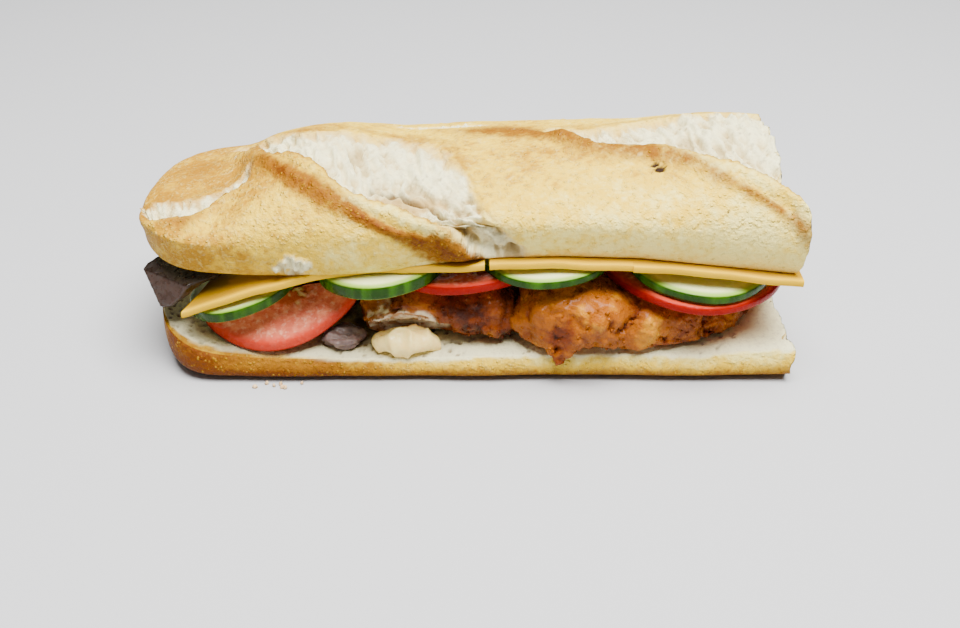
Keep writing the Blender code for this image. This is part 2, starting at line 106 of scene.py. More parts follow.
LIP_HEIGHT = [(-120, 43), (-106, 41.8), (-93, 41.2), (-78, 40.8), (-62, 42), (-45, 44.4), (-27, 45.9),
              (2, 48.1), (27, 48.8), (54, 48.1), (75, 45.8), (108, 42.1)]
CROWN_HEIGHT = [(-120, 59), (-100, 58.5), (-88, 60.5), (-77, 68), (-62, 73), (-48, 73.3), (-28, 69.5),
                (0, 70.5), (28, 72), (56, 72.6), (77, 76.4), (90, 78), (108, 77.5)]
LOAF_HALF_WIDTH = [(-120, 37), (-85, 39), (-50, 41), (-20, 41.5), (10, 40.5), (108, 41)]
RIM_HEIGHT = [(-117, 19), (-110, 16.5), (-104, 14), (-98, 12), (-91, 10.4), (-78, 9.2), (-64, 8.8),
              (-28, 8.8), (7, 10.3), (43, 11), (78, 10.4), (112, 13.6)]
CHEESE_UNDERSIDE = [(-104, 24.8), (-99, 26.6), (-80, 34), (-62, 38.6), (-27, 42.7), (2, 44.9), (27, 45.6),
                    (54, 44.9), (75, 42.6), (112, 38.6)]
CHEESE_THICKNESS = 2.6

# Slashes: the raised ear, the far edge of the torn crumb, and the brown line that the oven left on the ear,
# each as (x, share of the way over the loaf from the front lip to the back lip).
SLASHES = [
    {"span": (-121, -78), "depth": 2.2, "ear": 0.8, "taper": (5, 9), "blend": (-2.0, 1.2), "ragged": 1.7,
     "near": [(-118, 0.15), (-115, 0.20), (-109, 0.275), (-102, 0.285), (-97, 0.34), (-91, 0.364),
              (-86, 0.395), (-81, 0.42), (-74, 0.475)],
     "far": [(-118, 0.28), (-116, 0.34), (-111, 0.387), (-104, 0.396), (-99, 0.42), (-93, 0.436),
             (-88, 0.455), (-83, 0.46), (-74, 0.485)],
     "toast": [(-120, 0.16), (-109, 0.25), (-102, 0.262), (-97, 0.30), (-91, 0.34), (-74, 0.45)],
     "brown": [(-120, 0.1), (-108, 0.2), (-103, 0.5), (-98, 0.45), (-92, 0.1), (-74, 0.0)]},
    {"span": (-99, 19), "depth": 3.6, "ear": 2.0, "taper": (18, 9), "blend": (-1.5, 4.5), "ragged": 1.0,
     "near": [(-98, 0.68), (-85, 0.58), (-74, 0.487), (-62, 0.435), (-56, 0.40), (-50, 0.34), (-43, 0.286),
              (-33, 0.256), (-26, 0.246), (-20, 0.198), (-14, 0.156), (-10, 0.09), (-4, 0.04), (0, 0.01),
              (19, -0.12)],
     "far": [(-98, 0.70), (-85, 0.66), (-73, 0.616), (-62, 0.572), (-44, 0.572), (-32, 0.553), (-22, 0.54),
             (-14, 0.502), (-7, 0.452), (-3, 0.373), (-1, 0.26), (5, 0.13), (10, 0.09), (16, 0.025),
             (19, 0.0)],
     "toast": [(-90, 0.54), (-73, 0.444), (-66, 0.389), (-57, 0.324), (-50, 0.278), (-43, 0.234), (-36, 0.195),
               (-29.5, 0.154), (-23, 0.113), (-16.4, 0.086), (-10, 0.049), (-3.3, 0.019), (19, -0.1)],
     "brown": [(-95, 0.0), (-84, 0.25), (-76, 0.5), (-71, 1.0), (-60, 0.95), (-48, 0.8), (-38, 1.0),
               (-12, 1.0), (0, 0.9), (8, 0.0)]},
    {"span": (22, 130), "depth": 3.8, "ear": 1.8, "taper": (9, 9), "blend": (-1.5, 3.5), "ragged": 1.0,
     "near": [(14, 0.59), (25, 0.562), (32, 0.536), (35, 0.51), (39, 0.495), (46, 0.479), (60, 0.482),
              (66, 0.453), (73, 0.425), (81, 0.385), (89, 0.361), (97, 0.325), (104, 0.31), (108, 0.28),
              (111, 0.20)],
     "far": [(14, 0.60), (35, 0.57), (48, 0.594), (70, 0.625), (111, 0.64)],
     "toast": [(-20, 0.61), (14, 0.585), (25, 0.549), (33, 0.50), (41, 0.475), (50, 0.462), (59, 0.462),
               (65, 0.421), (72, 0.395), (80, 0.348), (88, 0.308), (93, 0.272), (98, 0.242), (102, 0.2),
               (111, 0.14)],
     "brown": [(-24, 0.0), (-8, 0.4), (0, 0.6), (14, 0.75), (25, 0.75), (36, 0.6), (50, 0.55), (58, 0.7),
               (66, 0.6), (76, 0.5), (90, 0.55), (104, 0.5), (111, 0.4)]},
]

CUCUMBERS = {
    "cucumber_front_1": (-84, -20.5, 21, 28.0, 4.4, 0.30, 0.0),
    "cucumber_front_2": (-34.5, -21.5, 22.5, 38.4, 5.4, 0.11, 0.0),
    "cucumber_front_3": (23, -20.5, 23.5, 41.6, 3.4, 0.04, 0.0),
    "cucumber_front_4": (77, -17, 27, 37.7, 3.6, -0.08, 0.06),
    "cucumber_back_1": (-60, 25, 18.5, 34.6, 4.2, 0.17, 0.0),
    "cucumber_back_2": (-10, 25, 18.5, 40.6, 4.2, 0.04, 0.0),
    "cucumber_back_3": (48, 25, 18.5, 41.6, 4.2, -0.02, 0.0),
    "cucumber_back_4": (88.5, 27.5, 16, 38.2, 4.0, -0.07, 0.0),
}
TOMATOES = {
    "tomato_left": (-69.5, -15.7, 28.5, 26.2, 4.4, 0.16, 0.48),
    "tomato_middle": (-5, -13, 27, 33.7, 3.8, 0.08, -0.12),
    "tomato_right": (75.5, -9, 35, 33.3, 3.4, -0.08, 0.04),
    "tomato_back": (-44, 20, 22, 30.2, 4.2, 0.10, 0.0),
}

# Rounded edge of a slice: shares of its radius and of its thickness, from its underside to its top.
SLICE_EDGE_SHARES = [0.975, 0.995, 1.0, 1.0, 1.0, 0.995, 0.975]
SLICE_EDGE_LEVELS = [-0.47, -0.38, -0.22, 0.0, 0.22, 0.38, 0.47]

# Cut and stretch of the half slice of tomato.
HALF_SLICE_BACK = -20.0
HALF_SLICE_END = -41.4
HALF_SLICE_STRETCH = 1.084
HALF_SLICE_DEPTH = 0.88
GEL_MIDDLE = (-68, -23)
CHEESES = {
    "cheese_left": (-103, 1.6, -39.6, 38, 30),
    "cheese_middle": (3.2, 51.4, -39.8, 37, 0),
    "cheese_right": (51.4, 109.5, -40.6, 38, 0),
}
CHEESE_WAVE = 0.5
CHEESE_WAVE_RATE = 0.11
CHEESE_DIP_X = -42.0
CHEESE_DIP = 3.0
CHEESE_DIP_LENGTH = 24.0

# Where the front lip of the upper crust sags over the edge of the cheese.
LIP_DRAPE = 1.8
LIP_DRAPE_X = -40.0
LIP_DRAPE_LENGTH = 24.0

# Features of the upper crust: middle as (x, share of the way over the loaf), and half sizes in millimetres.
FLAKE = ((-62.5, 0.04), (6.0, 5.5))
SLIVER = ((-13.0, 0.652), (17.0, 1.8))
TOASTED_PATCHES = [(0.6, (7.0, 0.60), (17.0, 6.0)), (0.35, (-103.0, 0.56), (12.0, 10.0))]
BAKED_LAYERS = [(2.4, (-25.0, 0.295), (11.0, 4.2)), (1.1, (-9.0, 0.13), (4.0, 6.0))]
GREY_CRUMB = ((6.0, 0.05), (10.0, 5.0))
SCORCH_MARKS = [((61.2, 0.392), 1.7), ((59.6, 0.409), 1.1), ((82.0, 0.211), 0.45), ((83.8, 0.472), 0.4),
                ((-81.0, 0.30), 0.4)]

# Lumps of the coating: middle in millimetres, radius, height, and how much darker the coating is there, from
# the frying and, on the lumps near the left end, painted shade.
BATTER_LUMPS = [
    ((43.0, -37.0, 26.0), 9.5, 3.2, -0.42), ((31.0, -38.0, 20.0), 7.0, 1.4, -0.15),
    ((14.5, -32.0, 21.0), 5.2, 3.2, 0.05), ((7.0, -32.0, 17.0), 4.5, 2.0, 0.15),
    ((56.0, -36.0, 18.0), 7.0, 1.2, -0.3), ((22.0, -36.0, 29.0), 6.0, 1.8, 0.1),
    ((-1.0, -32.0, 22.0), 8.0, 1.0, 0.35), ((-11.0, -31.0, 24.0), 6.0, 0.8, 0.3),
    ((74.0, -33.0, 21.0), 6.0, 1.0, 0.1), ((-37.0, -22.0, 27.0), 6.0, 0.8, -0.1),
]
TEAR_MIDDLE = (-26.0, 17.5)
TEAR_HALF = (15.0, 8.0)
MAYONNAISE_RISE = 1.45
AUBERGINE_CUTS = [((-0.42, -0.80, 0.42), (-108.0, -33.0, 31.0)),
                  ((-0.90, -0.25, -0.35), (-115.0, -26.0, 29.0)),
                  ((-0.10, -0.30, 0.95), (-106.0, -25.0, 38.0))]
CRACK = [(-37, 0.352), (-34, 0.336), (-30, 0.356), (-26.7, 0.336), (-23, 0.348), (-20, 0.306), (-14, 0.252),
         (-10, 0.206)]

# Where painted shade darkens the cut face between the tomato and the left escalope.
GAP_SHADE_X = -45.0

# Width of the baked rim round the cut face of the lower half.
BAKED_RIM = [(-120, 4.0), (-104, 3.6), (-85, 2.8), (-60, 1.0), (-40, 0.0), (112, 0.0)]

# Rings that close the nose and the cut end, and those before the cut end that follow its tear.
NOSE_CAP_RINGS = 6
CUT_RINGS = 42
CUT_TEAR_RINGS = 6

# Round table top that bends up into a wall on all sides, in metres.
FLOOR_MIDDLE = 0.6
FLOOR_RADIUS = 2.2
WALL_BEND = 0.9
WALL_HEIGHT = 3.2
FLOOR_SIDES = 72

# Lamps: place and edge length in metres, and what both face.
KEY_LAMP = ((0.12, -0.16, 1.05), 0.75)
FILL_LAMP = ((-0.5, -0.9, 0.5), 0.8)
LAMP_TARGET = (0.0, 0.0, 0.04)

# Strip of the table that the crumbs fell on, in millimetres.
CRUMB_STRIP = [(-82, -48, 0.5), (-60, -46, 0.5), (-60, -42, 0.5), (-82, -42, 0.5)]

# Camera at the height and tilt that the photograph has, in front of the middle of the loaf.
CAMERA_PLACE = (0.0, -356.8, 235.9)
CAMERA_TILT = math.radians(33.28)
CAMERA_LENS = 41.25
SENSOR_WIDTH = 36.0


def tint(red, green, blue):
    """Linear colour of a display colour given as 0 to 255."""
    linear = []
    for channel in (red, green, blue):
        share = channel / 255.0
        linear.append(share / 12.92 if share <= 0.04045 else ((share + 0.055) / 1.055) ** 2.4)
    return tuple(linear)


def colour_setting(name, description, default):
    return FloatVectorProperty(name=name, description=description, subtype="COLOR", size=3, min=0.0, max=1.0,
                               default=default)


def height_setting(name, description, default, highest):
    return FloatProperty(name=name, description=description, default=default, min=0.0, max=highest,
                         unit="LENGTH")


def count_setting(name, description, default, highest):
    return IntProperty(name=name, description=description, default=default, min=0, max=highest,
                       subtype="UNSIGNED")


def power_setting(name, description, default):
    return FloatProperty(name=name, description=description, default=default, min=0.0, max=200.0,
                         unit="POWER")


class BreadLook(bpy.types.PropertyGroup):
    """Colours and relief of the two halves of bread."""

    pale: colour_setting("Pale crust", "Crust that browned least", tint(244, 226, 132))
    golden: colour_setting("Golden crust", "Well baked crust", tint(176, 124, 6))
    toasted: colour_setting("Toasted ear", "Darkest brown of the raised ears", tint(136, 85, 0))
    crumb: colour_setting("Crumb", "Soft inside of the bread", tint(248, 241, 190))
    tear_relief: height_setting("Torn relief", "Height of the strands in the torn crumb", 0.0007, 0.003)
    pore_depth: height_setting("Pore depth", "Depth of the pores in the cut crumb", 0.0009, 0.003)


class FillingLook(bpy.types.PropertyGroup):
    """Colours and sizes of the fillings."""

    cheese: colour_setting("Cheese", "Sliced cheese", tint(184, 136, 0))
    cucumber_skin: colour_setting("Cucumber skin", "Dark green skin", tint(30, 64, 0))
    cucumber_flesh: colour_setting("Cucumber flesh", "Pale green flesh", tint(228, 236, 150))
    tomato_skin: colour_setting("Tomato skin", "Red skin", tint(134, 4, 0))
    tomato_flesh: colour_setting("Tomato flesh", "Pink outer flesh", tint(204, 100, 76))
    batter: colour_setting("Fried coating", "Golden fried coating", tint(152, 80, 0))
    crag_height: height_setting("Crag height", "Height of the crags in the fried coating", 0.0015, 0.004)
    grain_count: count_setting("Coating grains", "Grains of coating on each piece of chicken", 900, 5000)
    crumb_count: count_setting("Fallen crumbs", "Bread crumbs beside the loaf", 7, 200)


class StageLook(bpy.types.PropertyGroup):
    """Table top and light."""

    floor: colour_setting("Floor", "Pale table top and backdrop", tint(180, 180, 181))
    key_power: power_setting("Key light", "Power of the large lamp overhead", 57.0)
    fill_power: power_setting("Fill light", "Power of the lamp in front", 0.5)
    sky_strength: FloatProperty(
        name="Room light", description="Strength of the even light of the room", default=0.3, min=0.0,
        max=5.0, subtype="FACTOR")


# Measures along the loaf.


def profile(knots, x):
    """Value of a profile at x, with rounded bends between its knots."""
    xs = np.array([k[0] for k in knots], float)
    ys = np.array([k[1] for k in knots], float)
    spread = 3.0
    return sum(np.interp(np.asarray(x, float) + d, xs, ys) for d in (-spread, 0.0, spread)) / 3.0


def rise(low, high, value):
    """Smooth step from 0 at low to 1 at high."""
    share = np.clip((np.asarray(value, float) - low) / (high - low), 0.0, 1.0)
    return share * share * (3.0 - 2.0 * share)


def bell(value, width):
    """Bell curve of the given half width, 1 at value 0."""
    return np.exp(-((value / width) ** 2))


def rounded_end(x, start, length, power):
    """Share of the full section at x, near the rounded end of a loaf."""
    left = 1.0 - np.clip((np.asarray(x, float) - start) / length, 0.0, 1.0)
    return np.sqrt(np.clip(1.0 - left**power, 0.0, 1.0))


def arch(x, w):
    """Points of the crust of the upper half: w runs from 0 at the front lip to 1 at the back lip."""
    end = rounded_end(x, NOSE_X, NOSE_LENGTH, NOSE_ROUNDNESS)
    half = profile(LOAF_HALF_WIDTH, x) * end
    angle = -LIP_ANGLE + w * (math.pi + 2 * LIP_ANGLE)
    power = 2 / ARCH_ROUNDNESS
    across, up = np.cos(angle), np.sin(angle)
    y = 1.0 - NOSE_FORWARD * (1 - end) - half * np.sign(across) * np.abs(across) ** power
    depth = np.clip(y / LOAF_DEPTH + 0.5, 0, 1)
    set_back = rise(*CUT_SET_BACK_SPAN, depth) - CUT_BACK_BULGE * rise(*CUT_BACK_BULGE_SPAN, depth)
    x = x - CUT_SET_BACK * set_back * rise(CUT_SET_BACK_START, CUT_X, x)
    lip = profile(LIP_HEIGHT, x)
    height = profile(CROWN_HEIGHT, x) - lip - LIP_DROP
    under = LIP_DROP / math.sin(LIP_ANGLE)
    z = lip + LIP_DROP + np.where(up >= 0, height * np.abs(up) ** power, -under * np.abs(up))
    z = NOSE_HEIGHT + (z - NOSE_HEIGHT) * end**NOSE_HEIGHT_POWER
    return np.stack([x, y, z], axis=-1)


def base_side(half, rim, floor, count):
    """Outline of the lower crust from its front rim under the loaf to its back rim, as (y, z)."""
    power = 2 / BASE_CORNER_POWER
    widest = floor + BASE_WIDEST_SHARE * (rim - floor)
    angle = np.linspace(-BASE_TUCK, math.pi + BASE_TUCK, count)
    across, down = np.cos(angle), np.sin(angle)
    y = -half * np.sign(across) * np.abs(across) ** power
    above = widest - (rim - widest) * down / math.sin(BASE_TUCK)
    below = widest - (widest - floor) * np.minimum(1.0, 1.05 * np.abs(down) ** power)
    return y, np.maximum(np.where(down < 0, above, below), 0.0)


def nose_stations(start, end, nose_length, count, nose_count):
    """Positions along a loaf, closer together round its nose."""
    turn = np.linspace(0.10, math.pi / 2, nose_count)
    nose = start + nose_length * (1 - np.cos(turn))
    return np.concatenate([nose, np.linspace(nose[-1], end, count - nose_count + 1)[1:]])


# Noise and surfaces.


def scattered(cells, seed):
    """A fixed random value between -1 and 1 for each whole-number cell."""
    n = cells.astype(np.int64)
    mixed = n[..., 0] * 374761393 + n[..., 1] * 668265263 + n[..., 2] * 1440662683 + seed * 974711
    mixed = (mixed ^ (mixed >> 13)) * 1274126177
    mixed = mixed ^ (mixed >> 16)
    return (mixed & 0xFFFFFF) / 8388607.5 - 1.0


def grain(points, size, seed, layers=1):
    """Smooth noise of about -1 to 1, with features of the given size, finer in each further layer."""
    total, weight, weights = 0.0, 1.0, 0.0
    for layer in range(layers):
        place = points * (2.0**layer) / size
        cell = np.floor(place)
        inside = place - cell
        inside = inside**3 * (inside * (inside * 6 - 15) + 10)
        value = 0.0
        for corner in itertools.product((0, 1), repeat=3):
            corner = np.array(corner)
            share = np.prod(np.where(corner, inside, 1 - inside), axis=-1)
            value = value + share * scattered(cell + corner, seed + layer)
        total, weights = total + weight * value, weights + weight
        weight *= 0.5
    return total / weights


def bubbles(points, size, seed):
    """Distance to the nearest and to the second nearest of scattered centres, as shares of size."""
    place = points / size
    cell = np.floor(place)
    first = np.full(points.shape[:-1], 9.0)
    second = first.copy()
    for offset in itertools.product((-1, 0, 1), repeat=3):
        near = cell + np.array(offset)
        centre = near + np.stack([scattered(near, seed + k) for k in range(3)], axis=-1) * 0.5 + 0.5
        distance = np.linalg.norm(centre - place, axis=-1)
        second = np.minimum(second, np.maximum(first, distance))
        first = np.minimum(first, distance)
    return first, second


def outward(points):
    """Unit normals of a grid of points, pointing away from the middle of the loaf."""
    normal = np.cross(np.gradient(points, axis=0), np.gradient(points, axis=1))
    normal /= np.linalg.norm(normal, axis=-1, keepdims=True) + 1e-9
    return -normal if normal[len(points) // 2, points.shape[1] // 2, 2] < 0 else normal


BASE_LOW, BASE_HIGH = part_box("bottom_bread")
SHIFT = np.array([BASE_HIGH.x / MM - BASE_CUT_X, BASE_LOW.y / MM + BASE_HALF_WIDTH, BASE_LOW.z / MM])


def into_frame(points):
    """Metres in the frame, from millimetres along the loaf."""
    return (np.asarray(points, float) + SHIFT) * MM


def from_frame(points):
    return np.asarray(points, float) / MM - SHIFT


def close_ends(rings, before, after):
    """The rings with both open ends filled by smaller and smaller ones."""
    first, last = rings[0], rings[-1]
    start = [first + (first.mean(axis=0) - first) * k / (before + 1) for k in range(before, 0, -1)]
    end = [last + (last.mean(axis=0) - last) * k / (after + 1) for k in range(1, after + 1)]
    return np.concatenate([np.array(start), rings, np.array(end)])


def widen(values, before, after):
    """Values of rings, repeated over the rings that close_ends adds."""
    start, end = np.repeat(values[:1], before, axis=0), np.repeat(values[-1:], after, axis=0)
    return np.concatenate([start, values, end])


def skin(name, rings, values, finish):
    """A closed surface through rings of points in millimetres, with a pole in each end ring."""
    count, around = rings.shape[:2]
    poles = np.array([rings[0].mean(axis=0), rings[-1].mean(axis=0)])
    points = np.concatenate([rings.reshape(-1, 3), poles])
    i, j = np.meshgrid(np.arange(count - 1), np.arange(around), indexing="ij")
    k = (j + 1) % around
    near, far = i * around, (i + 1) * around
    quads = np.stack([near + j, far + j, far + k, near + k], axis=-1)
    quads = quads.reshape(-1, 4)
    volume = np.einsum("ij,ij->", points[quads[:, 0]], np.cross(points[quads[:, 1]], points[quads[:, 2]]))
    last = (count - 1) * around
    fans = []
    for j in range(around):
        k = (j + 1) % around
        fans.append((len(points) - 2, j, k))
        fans.append((len(points) - 1, last + k, last + j))
    faces = quads.tolist() + fans
    if volume < 0:
        faces = [tuple(reversed(face)) for face in faces]
    mesh = bpy.data.meshes.new(name)
    mesh.from_pydata(into_frame(points).tolist(), [], faces)
    for key, value in values.items():
        flat = np.asarray(value, float).reshape(-1)
        flat = np.concatenate([flat, [flat[:around].mean(), flat[-around:].mean()]])
        mark(mesh, key, flat)
    mesh.shade_smooth()
    return add_piece(name, mesh, finish)


def mark(mesh, key, values):
    """Stores one number for each point of a mesh, for its material to read."""
    layer = mesh.attributes.new(key, "FLOAT", "POINT")
    layer.data.foreach_set("value", np.asarray(values, np.float32))


def add_piece(name, mesh, finish):
    piece = bpy.data.objects.new(name, mesh)
    bpy.context.scene.collection.objects.link(piece)
    mesh.materials.clear()
    mesh.materials.append(finish)
    return piece


def serve(piece, node):
    """Fixes a finished piece to the frame, in place of a plain node if it stands for one."""
    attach(piece, "root")
    if node:
        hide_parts(node)


def refined(node, name, voxel, rounds=6):
    """A closed, evenly meshed copy of a plain node: its points in millimetres, its normals and its mesh."""
    work = bmesh.new()
    work.from_mesh(frame["nodes"][node].data)
    bmesh.ops.remove_doubles(work, verts=work.verts, dist=1e-5)
    mesh = bpy.data.meshes.new(name)
    work.to_mesh(mesh)
    work.free()
    piece = bpy.data.objects.new(name, mesh)
    bpy.context.scene.collection.objects.link(piece)
    remesh = piece.modifiers.new("even", "REMESH")
    remesh.mode = "VOXEL"
    remesh.voxel_size = voxel * MM
    smooth = piece.modifiers.new("soft", "SMOOTH")
    smooth.factor = 0.5
    smooth.iterations = rounds
    made = bpy.data.meshes.new_from_object(piece.evaluated_get(bpy.context.evaluated_depsgraph_get()))
    bpy.data.objects.remove(piece)
    bpy.data.meshes.remove(mesh)
    made.name = name
    points = np.zeros(len(made.vertices) * 3)
    made.vertices.foreach_get("co", points)
    normals = np.zeros(len(made.vertices) * 3)
    made.vertices.foreach_get("normal", normals)
    return from_frame(points.reshape(-1, 3)), normals.reshape(-1, 3), made


def put_points(mesh, points):
    mesh.vertices.foreach_set("co", into_frame(points).astype(np.float32).reshape(-1))
    mesh.update()
    mesh.shade_smooth()


# Materials.


class Graph:
    """Nodes of one material or group, joined as they are added."""

    def __init__(self, tree):
        self.tree = tree

    def node(self, kind, inputs=None, **settings):
        made = self.tree.nodes.new(kind)
        for name, value in settings.items():
            setattr(made, name, value)
        for socket, value in (inputs or {}).items():
            self.feed(made.inputs[socket], value)
        return made

    def feed(self, socket, value):
        if isinstance(value, bpy.types.NodeSocket):
            self.tree.links.new(value, socket)
        elif socket.type == "RGBA":
            socket.default_value = (*value[:3], 1.0)
        else:
            socket.default_value = value

    def math(self, operation, first, second=0.0, clamp=False):
        inputs = {0: first, 1: second}
        return self.node("ShaderNodeMath", inputs, operation=operation, use_clamp=clamp).outputs[0]

    def plus(self, first, second):
        return self.math("ADD", first, second)

    def minus(self, first, second):
        return self.math("SUBTRACT", first, second)

    def times(self, first, second):
        return self.math("MULTIPLY", first, second)

    def mix(self, share, first, second, blend="MIX"):
        inputs = {0: share, 6: first, 7: second}
        return self.node("ShaderNodeMix", inputs, data_type="RGBA", blend_type=blend).outputs[2]

    def step(self, value, low, high):
        inputs = {"Value": value, "From Min": low, "From Max": high}
        return self.node("ShaderNodeMapRange", inputs, interpolation_type="SMOOTHSTEP").outputs[0]

    def read(self, key):
        return self.node("ShaderNodeAttribute", attribute_name=key).outputs["Fac"]

    def mottle(self, vector, size, contrast):
        """Cloudy tone of about 0 to 1, with clouds of the given size in millimetres."""
        return self.group(mottle_group(), {"Vector": vector, "Size": size, "Contrast": contrast})["Value"]

    def moist(self, vector, size, wet, dry):
        """Roughness and bead height of an uneven film of moisture."""
        return self.group(moist_group(), {"Vector": vector, "Size": size, "Wet": wet, "Dry": dry})

    def place(self):
        return self.node("ShaderNodeTexCoord").outputs["Object"]

    def noise(self, vector, size, detail=3.0, roughness=0.55):
        """Noise of about 0 to 1, with features of the given size in millimetres."""
        inputs = {"Vector": vector, "Scale": 1.0 / (size * MM), "Detail": detail, "Roughness": roughness}
        return self.node("ShaderNodeTexNoise", inputs).outputs[0]

    def group(self, tree, inputs):
        return self.node("ShaderNodeGroup", inputs, node_tree=tree).outputs


def new_group(name, inputs, outputs):
    """An empty shader node group with named number, colour and vector sockets."""
    tree = bpy.data.node_groups.new(name, "ShaderNodeTree")
    for socket, kind, value in inputs:
        made = tree.interface.new_socket(socket, in_out="INPUT", socket_type="NodeSocket" + kind)
        if value is not None:
            made.default_value = value
    for socket, kind in outputs:
        tree.interface.new_socket(socket, in_out="OUTPUT", socket_type="NodeSocket" + kind)
    graph = Graph(tree)
    return tree, graph, graph.node("NodeGroupInput").outputs, graph.node("NodeGroupOutput").inputs


def mottle_group():
    """Cloudy change of tone, centred on 0.5."""
    found = bpy.data.node_groups.get("Mottle")
    if found:
        return found
    tree, g, given, wanted = new_group(
        "Mottle", [("Vector", "Vector", None), ("Size", "Float", 8.0), ("Contrast", "Float", 1.0)],
        [("Value", "Float")])
    scale = g.math("DIVIDE", 1.0 / MM, given["Size"])
    cloud = g.node("ShaderNodeTexNoise", {"Vector": given["Vector"], "Scale": scale, "Detail": 5.0}).outputs[0]
    centred = g.times(g.minus(cloud, 0.5), given["Contrast"])
    g.feed(wanted["Value"], g.math("ADD", centred, 0.5, clamp=True))
    return tree


def moist_group():
    """Uneven film of moisture or oil: a roughness and the height of its small beads."""
    found = bpy.data.node_groups.get("Moist film")
    if found:
        return found
    tree, g, given, wanted = new_group(
        "Moist film",
        [("Vector", "Vector", None), ("Size", "Float", 1.5), ("Wet", "Float", 0.2), ("Dry", "Float", 0.5)],
        [("Roughness", "Float"), ("Height", "Float")])
    scale = g.math("DIVIDE", 1.0 / MM, given["Size"])
    film = g.node("ShaderNodeTexNoise", {"Vector": given["Vector"], "Scale": scale, "Detail": 4.0}).outputs[0]
    dry = g.step(film, 0.4, 0.62)
    spread = g.minus(given["Dry"], given["Wet"])
    g.feed(wanted["Roughness"], g.plus(g.times(dry, spread), given["Wet"]))
    g.feed(wanted["Height"], film)
    return tree


def new_finish(name):
    """A material and its graph, shader and object coordinates."""
    material = bpy.data.materials.new(name)
    material.use_nodes = True
    graph = Graph(material.node_tree)
    return material, graph, material.node_tree.nodes["Principled BSDF"], graph.place()


def uniform(shader, **values):
    """Sets sockets of the shader that have one value all over, named as in Blender with _ for a space."""
    for name, value in values.items():
        shader.inputs[name.replace("_", " ")].default_value = value


def bump(g, shader, height, distance):
    node = g.node("ShaderNodeBump", {"Height": height, "Strength": 1.0, "Distance": distance * MM})
    g.feed(shader.inputs["Normal"], node.outputs["Normal"])


def bread_finish(look):
    """Crust and crumb of the bread, mixed by the marks on its points."""
    found = bpy.data.materials.get("Baked bread")
    if found:
        return found
    material, g, shader, place = new_finish("Baked bread")
    crumb = g.read("crumb")
    crusty = g.minus(1.0, crumb)
    mottle = g.mottle(place, 11.0, 1.2)
    speckle = g.mottle(place, 1.6, 1.5)
    freckle = g.mottle(place, 2.6, 1.8)
    bake = g.plus(g.read("bake"), g.times(g.minus(mottle, 0.5), 0.9))
    bake = g.plus(bake, g.times(g.minus(speckle, 0.5), 0.3))
    bake = g.plus(bake, g.times(g.minus(freckle, 0.5), 0.42))
    crust = g.mix(g.step(bake, 0.0, 0.55), look.pale, tint(232, 190, 42))
    crust = g.mix(g.step(bake, 0.5, 1.0), crust, look.golden)
    lighter = g.mix(0.62, crust, tint(252, 230, 124))
    blisters = g.node("ShaderNodeTexVoronoi", {"Vector": place, "Scale": 620.0, "Randomness": 1.0})
    dots = g.minus(1.0, g.step(blisters.outputs["Distance"], 0.12, 0.40))
    dots = g.times(dots, g.step(freckle, 0.35, 0.7))
    bent = g.node("ShaderNodeTexNoise", {"Vector": place, "Scale": 180.0, "Detail": 3.0}).outputs[1]
    bent = g.node("ShaderNodeVectorMath", {0: bent, 1: (0.008, 0.008, 0.008)}, operation="MULTIPLY").outputs[0]
    bent = g.node("ShaderNodeVectorMath", {0: place, 1: bent}, operation="ADD").outputs[0]
    wrinkle = g.node("ShaderNodeTexVoronoi", {"Vector": bent, "Scale": 210.0}, feature="DISTANCE_TO_EDGE")
    vein = g.minus(1.0, g.step(wrinkle.outputs["Distance"], 0.0, 0.22))
    vein = g.times(vein, g.step(speckle, 0.4, 0.75))
    crust = g.mix(g.times(vein, 0.55), crust, lighter)
    crust = g.mix(g.times(dots, 0.5), crust, lighter)
    toast = g.times(g.read("toast"), g.plus(0.7, g.times(speckle, 0.6)))
    crust = g.mix(g.step(toast, 0.0, 0.7), crust, look.toasted)
    crust = g.mix(g.step(toast, 0.7, 1.15), crust, tint(108, 54, 0))
    crust = g.mix(g.times(g.times(dots, g.read("toast")), 0.45), crust, tint(216, 164, 20))
    strands = g.noise(place, 1.4, 5.0, 0.7)
    # Painted shade: the crumb is darker beige where the strands dip.
    soft = g.mix(g.step(strands, 0.3, 0.52), tint(226, 216, 172), look.crumb)
    # The stain mark holds baked stains, and painted shade in the valleys and pores of the crumb.
    soft = g.mix(g.times(g.read("stain_and_shade"), 0.8), soft, tint(196, 156, 80))
    soft = g.mix(g.read("grey"), soft, tint(176, 162, 134))
    # Painted shade: dark brown in the pores, hollows and crack of the crumb.
    soft = g.mix(g.read("pit_shade"), soft, tint(116, 90, 54))
    colour = g.mix(crumb, crust, soft)
    colour = g.mix(g.read("char"), colour, tint(40, 22, 12))
    g.feed(shader.inputs["Base Color"], colour)
    g.feed(shader.inputs["Roughness"], g.plus(0.5, g.times(crumb, 0.4)))
    uniform(shader, Specular_IOR_Level=0.12)
    height = g.plus(g.times(g.noise(place, 2.2, 6.0, 0.6), 2.4), g.times(vein, 0.5))
    height = g.plus(height, g.times(dots, 1.0))
    rough = g.plus(g.times(g.noise(place, 0.9, 6.0, 0.7), 1.6), g.times(strands, 2.6))
    height = g.times(height, 1.6)
    height = g.plus(g.times(height, crusty), g.times(rough, crumb))
    bump(g, shader, height, 0.3)
    return material


def cheese_finish(look):
    material, g, shader, place = new_finish("Sliced cheese")
    tone = g.mottle(place, 14.0, 0.8)
    colour = g.mix(tone, tuple(c * 0.9 for c in look.cheese), look.cheese)
    # Painted light: the cut edges are brighter yellow than the top, as the lamps catch them.
    colour = g.mix(g.times(g.read("edge"), 0.9), colour, tint(228, 180, 0))
    g.feed(shader.inputs["Base Color"], colour)
    uniform(shader, Roughness=0.38, Specular_IOR_Level=0.06,
            Subsurface_Weight=0.05, Subsurface_Scale=0.002)
    bump(g, shader, g.noise(place, 2.5, 3.0), 0.12)
    return material


